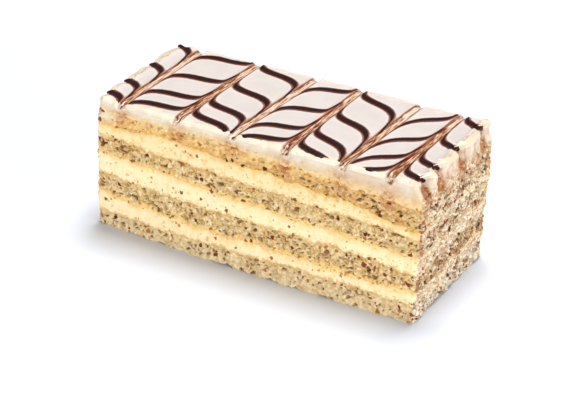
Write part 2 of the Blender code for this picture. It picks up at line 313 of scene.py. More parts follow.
class Finish:
    """A material under construction: a node tree with its Principled shader."""

    def __init__(self, name: str) -> None:
        """Starts the material with its shader and the piece's own coordinates, in metres."""
        self.material = bpy.data.materials.new(name)
        self.material.use_nodes = True
        self.tree = self.material.node_tree
        self.shader = self.tree.nodes["Principled BSDF"]
        self.place = self.add(Node.PLACE)

    def add(
        self, node: Node, *values: Any, stops: Sequence[tuple[float, str]] = (), **settings: Any
    ) -> bpy.types.NodeSocket:
        """Adds one node with its settings and links.

        Args:
            node: The kind of node.
            values: A number, a hex colour or an output socket for each of its inputs in turn. A
                pattern that is given no place reads the piece's own.
            stops: Positions and hex colours of a ramp's stops.
            settings: Further properties of the node.

        Returns:
            The output socket that this kind hands back.
        """
        made = self.tree.nodes.new(node.kind)
        for name, setting in {**node.settings, **settings}.items():
            setattr(made, name, setting)
        given = dict(zip(node.inputs, values))
        if "Vector" in node.inputs:
            given.setdefault("Vector", self.place)
        for name, value in given.items():
            if isinstance(value, bpy.types.NodeSocket):
                self.tree.links.new(value, made.inputs[name])
            else:
                made.inputs[name].default_value = linear(value) if isinstance(value, str) else value
        for number, (position, colour) in enumerate(stops):
            elements = made.color_ramp.elements
            element = elements[number] if number < 2 else elements.new(position)
            element.position = position
            element.color = linear(colour)
        return made.outputs[node.output]

    def span(self, axis: Axis, low: float, high: float) -> bpy.types.NodeSocket:
        """A share that rises smoothly from 0 to 1 between two places on an axis, in millimetres."""
        axes = self.add(Node.AXES, self.place).node.outputs
        return self.add(Node.RANGE, axes[axis], low * MM, high * MM)

    def bent(self, size: float, reach: float) -> bpy.types.NodeSocket:
        """The place moved by noise of that size, by as much as reach in millimetres."""
        push = self.add(Node.NOISE, per_mm(size)).node.outputs["Color"]
        return self.add(Node.MOVE, push, (reach * MM,) * 3, self.place)

    def ragged(
        self, size: float, detail: float, reach: float, about: Any = 0.0
    ) -> bpy.types.NodeSocket:
        """Adds noise of that size to a value, by as much as half of reach up or down."""
        noise = self.add(Node.SUBTRACT, self.add(Node.NOISE, per_mm(size), detail), 0.5)
        return self.add(Node.MULTIPLY_ADD, noise, reach, about)

    def blots(
        self, size: float, levels: tuple[float, float], shares: tuple[float, float] = (0.0, 1.0),
        detail: float = 2.0, rough: float = 0.5,
    ) -> bpy.types.NodeSocket:
        """Turns noise into a share that goes from one value to another between two of its levels.

        Args:
            size: Size of the noise in millimetres.
            levels: Levels of the noise, from 0 to 1.
            shares: The share up to the first level and from the second.
            detail: How many finer noises are added.
            rough: Weight of each finer noise against the one before.

        Returns:
            Socket of the share.
        """
        noise = self.add(Node.NOISE, per_mm(size), detail, rough)
        (low, high), (first, last) = levels, shares
        return self.add(Node.RANGE, noise, low, high, first, last)

    def lay(self, under: Any, tint: Any, *shares: Any) -> bpy.types.NodeSocket:
        """Lays a tint over a colour.

        Args:
            under: Socket or hex colour below.
            tint: Socket or hex colour of the tint.
            shares: Numbers or sockets whose product is the tint's share.

        Returns:
            Socket of the new colour.
        """
        share = shares[0]
        for factor in shares[1:]:
            share = self.add(Node.MULTIPLY, share, factor)
        return self.add(Node.MIX, share, under, tint)

    def finish(self, colour: Any, bump: Any, depth: float, **sockets: Any) -> bpy.types.Material:
        """Links the colour and a bump into the shader and sets its other sockets.

        Args:
            colour: Socket of the colour.
            bump: Socket of the height, from 0 to 1.
            depth: Height of the bump in millimetres.
            sockets: Other inputs of the shader, with spaces written as underscores.

        Returns:
            The finished material.
        """
        normal = self.add(Node.BUMP, bump, depth * MM, 1.0)
        for name, value in {"Base_Color": colour, "Normal": normal, **sockets}.items():
            socket = self.shader.inputs[name.replace("_", " ")]
            if isinstance(value, bpy.types.NodeSocket):
                self.tree.links.new(value, socket)
            else:
                socket.default_value = value
        return self.material


# --- The form of the slice ---


@dataclass(frozen=True)
class Stroke:
    """One pull of the comb through the wet fondant, in millimetres.

    It has its distance from the left end at mid width, its lean over the width, its way (-1 to the
    front, 1 to the back), a pull that fades quickly and one that fades slowly beside it, and the
    share of chocolate mixed into its track in front, at mid width and behind.
    """

    distance: float
    lean: float
    way: int
    fast: float
    slow: float
    cocoa: tuple[float, float, float]


@dataclass(frozen=True)
class SliceForm:
    """The driving sizes of the slice and of its feathering, in millimetres."""

    length: float = 105.0
    width: float = 44.5
    height: float = 42.5
    top_tilt: float = 0.6
    base_bow: float = 1.5
    top_bow: float = 0.6
    base_lean: float = -1.0
    base_spread: float = 0.5
    base_skew: float = 1.5
    corner_radius: float = 0.8
    rim_rounding: float = 1.8
    rounded_from: float = 35.5
    rounded_to: float = 40.5
    fondant_thickness: float = 3.0
    seams: tuple[tuple[float, ...], ...] = (
        (4.6, 4.8, 5.3, 5.9, 6.5, 5.3),
        (11.3, 10.0, 9.6, 10.1, 9.8, 9.2),
        (17.9, 16.9, 16.2, 16.4, 16.8, 14.6),
        (24.8, 23.6, 22.6, 21.9, 21.2, 20.0),
        (29.8, 29.4, 28.5, 28.1, 27.1, 26.0),
        (33.2, 34.9, 34.0, 32.9, 31.2, 27.9),
    )
    skirt_hang: tuple[float, ...] = (4.4, 4.1, 3.8, 5.4, 6.5, 7.9)
    line_distances: tuple[float, ...] = (5.7, 14.3, 27.2, 42.3)
    line_half_width: float = 1.35
    strokes: tuple[Stroke, ...] = (
        Stroke(8.7, 0.0, -1, 5.8, 0.5, (1.1, 0.45, 0.35)),
        Stroke(27.7, 0.8, 1, 4.2, 0.2, (1.05, 0.95, 0.4)),
        Stroke(46.8, 2.4, -1, 8.0, 2.6, (0.35, 0.5, 0.3)),
        Stroke(62.7, 0.3, 1, 4.7, 1.2, (1.15, 1.0, 0.5)),
        Stroke(81.2, 1.8, -1, 12.8, 6.3, (1.1, 0.7, 0.0)),
        Stroke(95.0, 1.0, 1, 8.0, -0.7, (1.15, 1.05, 0.3)),
    )
    fast_reach: float = 2.4
    slow_reach: float = 22.0
    tail_pull: float = 7.0
    tail_reach: float = 0.4
    fan_reach: float = 9.0
    fan_share: float = 0.055
    track_half_width: float = 1.1

    @staticmethod
    def through(stations: Sequence[float], share: Array) -> Array:
        """Runs a Catmull-Rom curve through even stations: a cubic between each two, whose slope at a
        station is half the step from the station before it to the one after.

        Args:
            stations: Heights at even steps from the left end to the right end.
            share: Places along the slice, from 0 to 1.

        Returns:
            The curve's heights there.
        """
        heights = np.array([stations[0], *stations, stations[-1]])
        spot = np.clip(share, 0.0, 1.0) * (len(stations) - 1)
        step = np.minimum(spot.astype(int), len(stations) - 2)
        u = spot - step
        before, start, end, after = (heights[step + k] for k in range(4))
        value = start * (1 + 2 * u) * (1 - u) ** 2 + (end - before) / 2 * u * (1 - u) ** 2
        return value + end * (3 - 2 * u) * u**2 - (after - start) / 2 * (1 - u) * u**2

    def seam(self, level: int, x: Array) -> Array:
        """Height of the smooth seam of that level at x."""
        return self.through(self.seams[level], x / self.length + 0.5)

    def top(self, x: Array) -> Array:
        """Height of the plain top at x, which rises evenly from left to right."""
        return self.height + self.top_tilt * x / self.length

    def hang(self, x: Array) -> Array:
        """How far the dragged fondant hangs below the top at x."""
        return self.through(self.skirt_hang, x / self.length + 0.5)

    def bow(self, x: Array, z: Array) -> Array:
        """How far front and back stand out at x and z: a parabola along x, less at the top."""
        most = self.base_bow + (self.top_bow - self.base_bow) * np.clip(z / self.height, 0.0, 1.0)
        return most * (1.0 - (2.0 * x / self.length) ** 2)

    def shift(self, x: Array, z: Array) -> tuple[Array, Array]:
        """How far the slice has leaned and turned, evenly from nothing at the top to the base.

        Args:
            x, z: Places along the slice and heights.

        Returns:
            Shifts along x and along y.
        """
        down = 1.0 - np.clip(z / self.height, 0.0, 1.0)
        along = 2.0 * x / self.length
        return (self.base_lean + self.base_spread * along) * down, -self.base_skew * along * down

    def rim_gap(self, x: Array, y: Array) -> Array:
        """Distance in from the nearer of the front and back edges of the top."""
        return self.width / 2 + self.bow(x, self.height) - np.abs(y)

    def stroke_places(self) -> Array:
        """Straightened x of the strokes."""
        return np.array([stroke.distance for stroke in self.strokes]) - self.length / 2

    def lean(self, straight: Array) -> Array:
        """Lean over the width of the feathering at a straightened x, between the strokes' own leans."""
        return np.interp(straight, self.stroke_places(), [stroke.lean for stroke in self.strokes])

    def leaned(self, straight: Array, y: Array) -> Array:
        """Place along the slice of a straightened x at y."""
        return straight + self.lean(straight) * y / self.width

    def straightened(self, x: Array, y: Array) -> Array:
        """Undoes leaned() by three rounds of taking the lean away.

        Args:
            x, y: Places on the top.

        Returns:
            Straightened x.
        """
        straight = x
        for _ in range(3):
            straight = x - self.lean(straight) * y / self.width
        return straight

    def nearest_stroke(self, x: Array, y: Array) -> tuple[Array, Array]:
        """Finds the stroke nearest to each place.

        Args:
            x, y: Places on the top.

        Returns:
            The stroke's number and the signed distance from it along the slice.
        """
        gaps = self.straightened(x, y)[..., None] - self.stroke_places()
        nearest = np.argmin(np.abs(gaps), axis=-1)
        return nearest, np.take_along_axis(gaps, nearest[..., None], axis=-1)[..., 0]

    def drag(self, straight: Array) -> Array:
        """How far the strokes have dragged the lines along the width at a straightened x.

        It is the sum over the strokes of a pull that fades with distance e-fold in fast_reach, one
        that fades in slow_reach, and a thin tail that fades in tail_reach from the track's edge.

        Args:
            straight: Straightened places along the slice.

        Returns:
            The drag there.
        """
        total = np.zeros_like(straight)
        for place, stroke in zip(self.stroke_places(), self.strokes):
            gap = np.abs(straight - place)
            beyond = np.maximum(gap - self.track_half_width, 0.0)
            pull = stroke.fast * np.exp(-gap / self.fast_reach)
            pull += stroke.slow * np.exp(-gap / self.slow_reach)
            pull += self.tail_pull * np.exp(-beyond / self.tail_reach)
            total += stroke.way * pull
        return total

    def lines(self, straight: Array) -> Array:
        """Place along the width of every line at a straightened x.

        It is the line's distance from the front, plus the drag, plus a share of that distance that
        grows evenly from nothing at fan_reach to fan_share at the left end.

        Args:
            straight: Straightened places along the slice.

        Returns:
            Places along the width, with one more axis for the lines.
        """
        distances = np.array(self.line_distances)
        spread = np.maximum(0.0, 1.0 - (straight + self.length / 2) / self.fan_reach)
        fan = self.fan_share * spread[..., None] * distances
        return distances - self.width / 2 + self.drag(straight)[..., None] + fan

    def line_end_gap(self, x: Array, y: Array) -> Array:
        """Distance along the width from where the nearest line runs over the nearer end."""
        end = np.sign(x) * (self.length / 2 - 2.0)
        return np.min(np.abs(y[..., None] - self.lines(end)), axis=-1)

    def stain(self, points: Array) -> Array:
        """Share of chocolate carried over the rim: below each stroke in front and behind, and below
        each line on the ends.

        Args:
            points: Points of a whole surface.

        Returns:
            Shares from 0 to 1.
        """
        x, y = points[..., 0], points[..., 1]
        _, across = self.nearest_stroke(x, y)
        on_side = np.exp(-((across / 2.2) ** 2))
        on_end = np.exp(-((self.line_end_gap(x, y) / 1.7) ** 2))
        at_end = smoothstep(1.2, 0.6, self.length / 2 - np.abs(x))
        return on_side + (on_end - on_side) * at_end


@dataclass(frozen=True)
class Outline:
    """The cut outline as rings of points.

    A ring is walked counter-clockwise from the middle of the left end, in equal steps on each side.
    """

    form: SliceForm
    columns: int
    rows: int
    least_radius: float = 0.2

    @property
    def count(self) -> int:
        """How many points a ring has."""
        return 2 * (self.columns + self.rows)

    def walk(self) -> tuple[Array, Array]:
        """The outline on the square from -1 to 1: five straight runs between its corners.

        Returns:
            The two coordinates of each point of a ring.
        """
        runs = (0.0, self.rows / 2, self.columns, self.rows, self.columns, self.rows / 2)
        knots = np.cumsum(runs)
        spots = np.arange(self.count)
        u = np.interp(spots, knots, (-1, -1, 1, 1, -1, -1))
        v = np.interp(spots, knots, (0, -1, -1, 1, 1, 0))
        return u, v

    def place(self, u: Array, v: Array, inset: Any, z: Array) -> tuple[Array, Array]:
        """Carries points of the square to the slice.

        The square is stretched to the rectangle less the inset. Near a corner a point's larger
        distance from the corner's centre becomes its radius round it, which rounds the corner.
        Then the bow is added in proportion to v, and the slice's lean.

        Args:
            u, v: Places on the square from -1 to 1.
            inset: Distance in from the cut outline.
            z: Heights, on which the bow depends.

        Returns:
            The points, and their outward directions.
        """
        half_x, half_y = self.form.length / 2 - inset, self.form.width / 2 - inset
        rounded = smoothstep(self.form.rounded_from, self.form.rounded_to, z)
        radius = self.form.corner_radius + self.form.rim_rounding * rounded - inset
        radius = np.maximum(radius, self.least_radius)
        x, y = u * half_x, v * half_y
        near_x = np.clip(x, radius - half_x, half_x - radius)
        near_y = np.clip(y, radius - half_y, half_y - radius)
        off_x, off_y = x - near_x, y - near_y
        reach = np.maximum(np.abs(off_x), np.abs(off_y))
        span = np.hypot(off_x, off_y)
        span = np.where(span == 0.0, 1.0, span)
        out_x, out_y = off_x / span, off_y / span
        x = near_x + reach * out_x
        y = near_y + reach * out_y + v * self.form.bow(x, z)
        z = np.broadcast_to(z, x.shape)
        lean_x, lean_y = self.form.shift(x, z)
        points = np.stack([x + lean_x, y + lean_y, z], axis=-1)
        return points, np.stack([out_x, out_y, np.zeros_like(x)], axis=-1)

    def rings(self, heights: Array, inset: Any = 0.0) -> tuple[Array, Array]:
        """Stacks rings of points on the outline, one for each row of heights."""
        u, v = (np.broadcast_to(part, heights.shape) for part in self.walk())
        return self.place(u, v, inset, heights)


# --- Finishes ---


@dataclass(frozen=True)
class Specks:
    """Ground nut skin caught in the cut: ragged flecks, one to a cell at most, golden, red or dark."""

    spacing: float
    reach: float
    golden: str = "BA7224"
    red: str = "84380E"
    dark: str = "5C2E10"

    def lay(self, f: Finish, colour: Any, more: Any = 1.0) -> Any:
        """Lays the flecks over a colour.

        Args:
            f: The material under construction.
            colour: Socket of the colour under the flecks.
            more: Number or socket that scales the flecks.

        Returns:
            Socket of the colour with the flecks.
        """
        distance = f.add(Node.CELLS, per_mm(self.spacing), f.bent(0.5, 1.1))
        draws = f.add(Node.CHANNELS, distance.node.outputs["Color"]).node.outputs
        clustered = f.blots(4.0, (0.38, 0.62), (0.25, 1.25), detail=1.0)
        reach = f.add(Node.MULTIPLY, f.add(Node.POWER, draws[0], 2.2), self.reach)
        reach = f.add(Node.MULTIPLY, f.add(Node.MULTIPLY, reach, clustered), more)
        inside = f.add(Node.RANGE, f.add(Node.SUBTRACT, distance, reach), -0.1, 0.03, 1.0, 0.0)
        tint = f.add(Node.MIX, f.add(Node.RANGE, draws[1], 0.3, 0.36), self.golden, self.red)
        tint = f.lay(tint, self.dark, f.add(Node.RANGE, draws[1], 0.66, 0.72))
        return f.lay(colour, tint, inside)


@dataclass(frozen=True)
class CrumbMosaic:
    """Torn crumb: grains of one size, each with its own tint, parted by crevices darkened with painted
    shade.
    """

    size: float
    crevice_shade: str
    depth: float
    stretch: float = 1.0
    pale: str = "FFF3D6"

    def lay(self, f: Finish, colour: Any, share: Any) -> Any:
        """Lays the grains and the painted shade of the crevices over a colour.

        Args:
            f: The material under construction.
            colour: Socket of the colour of the mass.
            share: Number or socket from 0 to 1, how much of the mosaic shows.

        Returns:
            Socket of the mottled colour.
        """
        bent = f.bent(0.5 * self.size, 0.7 * self.size)
        place = f.add(Node.STRETCH, (1.0, 1.0 / self.stretch, 1.0), bent)
        grains = f.add(Node.CELLS, per_mm(self.size), place).node
        edges = f.add(Node.CELL_EDGES, per_mm(self.size), place)
        draw = f.add(Node.CHANNELS, grains.outputs["Color"])
        colour = f.lay(colour, self.pale, f.add(Node.RANGE, draw, 0.55, 0.9), share, 0.75)
        # Grains with a low draw take the same dark colour, as a darker tone.
        colour = f.lay(colour, self.crevice_shade, f.add(Node.RANGE, draw, 0.45, 0.0), share, 0.6)
        # Painted shade: the crevices between the grains are darkened.
        crevices = f.add(Node.RANGE, edges, 0.02, 0.16, 1.0, 0.0)
        return f.lay(colour, self.crevice_shade, crevices, f.blots(0.9, (0.4, 0.6)), share, self.depth)


@dataclass(frozen=True)
class EndEdges:
    """Crumbs dragged round the upright edges of the ends: golden behind, orange-brown in front.

    The left end is rubbed with a little more of the golden skin.
    """

    behind: str = "E6A848"
    before: str = "B8743A"
    rubbed: str = "F2C27C"

    def lay(self, f: Finish, colour: Any, smear: Any) -> Any:
        """Lays the crumbs over a colour.

        Args:
            f: The material under construction.
            colour: Socket of the colour of the end.
            smear: Socket of the share that is 1 on the ends.

        Returns:
            Socket of the colour with the crumbs.
        """
        lumps = f.add(Node.NOISE, per_mm(1.6), 4.0)
        colour = f.lay(colour, self.rubbed, f.span(Axis.X, -44.0, -52.0), smear, 0.45)
        behind = f.add(Node.RANGE, lumps, 0.42, 0.54)
        colour = f.lay(colour, self.behind, f.span(Axis.Y, 18.6, 21.4), smear, behind)
        high, front = f.span(Axis.Z, 16.0, 22.0), f.span(Axis.Y, -18.6, -21.4)
        return f.lay(colour, self.before, high, front, smear, f.add(Node.RANGE, lumps, 0.45, 0.6))


@dataclass(frozen=True)
class NutSpongeFinish:
    """Baked sponge of egg white and ground nuts, cut with a knife.

    The cut opens it, so the eye sees a matte mosaic of pale crumb and ground nut, hollows and creases
    darkened with painted shade, and golden margins where the sheet's baked skin meets the cream or
    takes up the glaze.
    """

    tints: tuple[tuple[float, str], ...] = (
        (0.0, "966A32"),
        (0.22, "C89D5C"),
        (0.48, "DFBD7D"),
        (0.72, "EACD94"),
        (1.0, "F9E5B9"),
    )
    shaded_hollow: str = "6E3A12"
    low: str = "FBE6BC"
    high: str = "D69C4A"
    skin: str = "FBCF7C"
    skin_high: str = "DEA850"
    crust: str = "E4BA74"
    patch: str = "8A6A38"
    glazed: str = "F6CB80"
    glazed_high: str = "EECD98"
    glazed_end: str = "D2A274"
    glazed_corner: str = "F4E6CC"
    stained: str = "AC5A20"
    smeared: str = "FCE8C8"
    smeared_low: str = "FFF3DC"
    toasted: str = "94603A"
    haze: str = "C4864E"

    def build(self) -> bpy.types.Material:
        """Builds the material.

        Returns:
            The sponge's material, which reads the values crumb, shade, under, over, glaze, stain,
            toast and smear.
        """
        f = Finish("nut_sponge")
        names = ("crumb", "shade", "glaze", "toast", "smear")
        crumb, shade, glaze, toast, smear = (f.add(Node.VALUE, attribute_name=name) for name in names)
        fine = f.blots(0.7, (0.3, 0.7), detail=5.0, rough=0.6)
        spread = f.add(Node.MULTIPLY_ADD, crumb, 0.4, f.add(Node.MULTIPLY, fine, 0.55))
        clouds = f.add(Node.NOISE, per_mm(2.8), 3.0)
        spread = f.add(Node.MULTIPLY_ADD, clouds, 1.35, f.add(Node.SUBTRACT, spread, 0.67))
        colour = f.add(Node.RAMP, spread, stops=self.tints)
        patches = f.blots(2.4, (0.56, 0.7), (0.0, 0.6), detail=5.0, rough=0.6)
        colour = f.lay(colour, self.patch, patches)
        # Painted light: the sponge is paler towards the base, making up for the shade near the floor.
        colour = f.lay(colour, self.low, f.span(Axis.Z, 9.0, 0.0), 0.5)
        colour = f.lay(colour, self.high, f.span(Axis.Z, 24.0, 33.0), 0.4)
        toast = f.add(Node.MULTIPLY, toast, smear)
        # Painted light: the smeared ends are paler below about 6 mm, making up for the shade near the
        # floor.
        lowest = f.span(Axis.Z, 6.5, 4.0)
        smeared = f.add(Node.MIX, lowest, self.smeared, self.smeared_low)
        spread_out = f.add(Node.MULTIPLY_ADD, toast, -0.6, f.add(Node.MULTIPLY, smear, 0.75))
        colour = f.lay(colour, smeared, spread_out)
        clusters = f.blots(2.6, (0.42, 0.62), detail=4.0, rough=0.65)
        colour = f.lay(colour, self.toasted, toast, clusters, 0.7)
        bare = f.add(Node.RANGE, glaze, 0.0, 0.6, 1.0, 0.5)
        mosaic = f.add(Node.MULTIPLY, f.add(Node.RANGE, smear, 0.0, 1.0, 0.35, 0.0), bare)
        colour = CrumbMosaic(size=1.1, crevice_shade="957240", depth=0.5).lay(f, colour, mosaic)
        torn = f.add(Node.MULTIPLY, smear, f.add(Node.RANGE, lowest, 0.0, 1.0, 1.0, 0.7))
        colour = CrumbMosaic(size=1.2, crevice_shade="7E4A20", depth=0.9, stretch=1.5).lay(f, colour, torn)
        colour = self.margins(f, colour, smear)
        # Painted shade: the relief's hollows and creases are darkened, unevenly.
        uneven = f.blots(0.7, (0.3, 0.6), (0.45, 1.0))
        colour = f.lay(colour, self.shaded_hollow, shade, uneven)
        more = f.add(Node.MULTIPLY, f.add(Node.RANGE, smear, 0.0, 1.0, 0.75, 1.1), bare)
        colour = Specks(spacing=1.7, reach=0.64).lay(f, colour, more)
        roasted = Specks(spacing=2.3, reach=0.62, golden="8A5428", red="5A2818", dark="3C2A30")
        colour = roasted.lay(f, colour, toast)
        return f.finish(
            colour, fine, 0.12, Roughness=0.85, Subsurface_Weight=0.2,
            Subsurface_Radius=(1.0, 0.65, 0.35), Subsurface_Scale=0.6 * MM, IOR=1.4,
        )

    def margins(self, f: Finish, colour: Any, smear: Any) -> Any:
        """Tints the margins: the baked skin below, the crust above, and the glaze and the chocolate
        stains under the fondant.

        Args:
            f: The material under construction.
            colour: Socket of the crumb's colour.
            smear: Socket of the smeared share, where the margins are weaker.

        Returns:
            Socket of the colour with its margins.
        """
        names = ("under", "over", "glaze", "stain")
        under, over, glaze, stain = (f.add(Node.VALUE, attribute_name=name) for name in names)
        lumpy = f.ragged(1.3, 4.0, 3.6)
        open_face = f.add(Node.RANGE, smear, 0.0, 1.0, 1.0, 0.3)
        skin = f.add(Node.RANGE, f.add(Node.ADD, under, lumpy), 0.0, 1.6, 0.9, 0.0)
        golden = f.add(Node.MIX, f.span(Axis.Z, 22.0, 31.0), self.skin, self.skin_high)
        colour = f.lay(colour, golden, skin, open_face)
        crust = f.add(Node.RANGE, f.add(Node.ADD, over, lumpy), -0.2, 1.0, 0.75, 0.0)
        colour = f.lay(colour, self.crust, crust, open_face)
        glazed = f.add(Node.MIX, f.add(Node.RANGE, glaze, 0.45, 0.95), self.glazed, self.glazed_high)
        glazed = f.add(Node.MIX, smear, glazed, self.glazed_end)
        uneven = f.blots(1.5, (0.38, 0.62), (0.2, 0.95), detail=4.0)
        colour = f.lay(colour, glazed, f.add(Node.RANGE, glaze, 0.05, 0.5), uneven)
        thick = f.add(Node.RANGE, glaze, 0.25, 0.85, 0.0, 0.8)
        colour = f.lay(colour, self.glazed_corner, f.span(Axis.X, -42.0, -50.0), thick, open_face)
        colour = EndEdges().lay(f, colour, smear)
        hazy = f.blots(2.8, (0.4, 0.6), detail=4.0)
        colour = f.lay(colour, self.haze, f.span(Axis.Z, 30.0, 35.0), smear, hazy, 0.6)
        uneven = f.blots(1.8, (0.42, 0.56), (0.2, 1.0), detail=4.0, rough=0.6)
        return f.lay(colour, self.stained, stain, uneven)


@dataclass(frozen=True)
class ButterCreamFinish:
    """Butter cream with egg yolk, spread in sheets and cut with a knife.

    Fat makes it a soft, slightly see-through satin. The knife leaves faint upright streaks. Its
    margins are golden with crumb, most of all under a sponge.
    """

    body: str = "FCE6B8"
    streak: str = "FAD9A2"
    high: str = "F6D498"
    skin: str = "F7CC80"
    skin_high: str = "E9BB6A"
    crumb: str = "E6C083"
    smeared: str = "FAEBD2"
    smeared_shade: str = "E4C7A0"
    shaded: str = "C08A44"

    def build(self) -> bpy.types.Material:
        """Builds the material.

        Returns:
            The cream's material, which reads the values under, over, shade and smear.
        """
        f = Finish("butter_cream")
        names = ("under", "over", "shade", "smear")
        under, over, shade, smear = (f.add(Node.VALUE, attribute_name=name) for name in names)
        upright = f.add(Node.STRETCH, (1.0, 1.0, 0.2))
        streaks = f.add(Node.NOISE, per_mm(1.0), 3.0, 0.5, upright)
        body = f.lay(self.body, self.high, f.span(Axis.Z, 20.0, 33.0), 0.55)
        colour = f.add(Node.MIX, f.add(Node.RANGE, streaks, 0.48, 0.75), body, self.streak)
        golden = f.add(Node.MIX, f.span(Axis.Z, 20.0, 30.0), self.skin, self.skin_high)
        more = f.add(Node.MULTIPLY_ADD, f.span(Axis.Z, 20.0, 28.0), 0.4, 0.5)
        patches = f.blots(1.8, (0.5, 0.66), detail=5.0, rough=0.65)
        colour = f.lay(colour, golden, patches, more)
        skin = f.add(Node.RANGE, f.ragged(1.6, 4.0, 4.4, over), -0.4, 2.2, 0.95, 0.0)
        colour = f.lay(colour, golden, skin)
        crumbs = f.ragged(0.8, 4.0, 4.0)
        crust = f.add(Node.RANGE, f.add(Node.ADD, under, crumbs), 0.1, 0.7, 0.95, 0.0)
        colour = f.lay(colour, self.crumb, crust)
        hung = f.add(Node.RANGE, f.add(Node.ADD, over, crumbs), 0.0, 0.4, 0.8, 0.0)
        colour = f.lay(colour, self.crumb, hung)
        # The smeared ends mix a painted shaded tone and a lit tone by lumps, and are painted lighter
        # above 24 mm, where less light reaches them.
        upper = f.span(Axis.Z, 24.0, 27.0)
        lumps = f.blots(0.8, (0.35, 0.65), detail=4.0)
        light = f.add(Node.MULTIPLY_ADD, upper, 0.35, lumps)
        rough = f.add(Node.MIX, light, self.smeared_shade, self.smeared)
        colour = f.lay(colour, rough, smear)
        torn = f.add(Node.MULTIPLY, smear, f.add(Node.MULTIPLY_ADD, upper, -0.35, 0.8))
        colour = CrumbMosaic(size=1.1, crevice_shade="966034", depth=0.7, stretch=2.4).lay(f, colour, torn)
        colour = EndEdges().lay(f, colour, smear)
        colour = f.lay(colour, self.shaded, shade, 0.5)
        faint = Specks(spacing=1.1, reach=0.44, golden="F0C478", red="E8AC58", dark="D29248")
        colour = faint.lay(f, colour)
        clear = Specks(spacing=1.7, reach=0.42, golden="D08C34", red="A05A20", dark="7E4418")
        colour = clear.lay(f, colour, f.add(Node.RANGE, smear, 0.0, 1.0, 1.0, 1.4))
        pores = f.add(Node.MULTIPLY, f.add(Node.NOISE, per_mm(0.5)), 0.4)
        bump = f.add(Node.MULTIPLY_ADD, streaks, 0.6, pores)
        return f.finish(
            colour, bump, 0.1, Roughness=0.5, Subsurface_Weight=0.2,
            Subsurface_Radius=(1.0, 0.75, 0.4), Subsurface_Scale=0.8 * MM, IOR=1.45,
        )


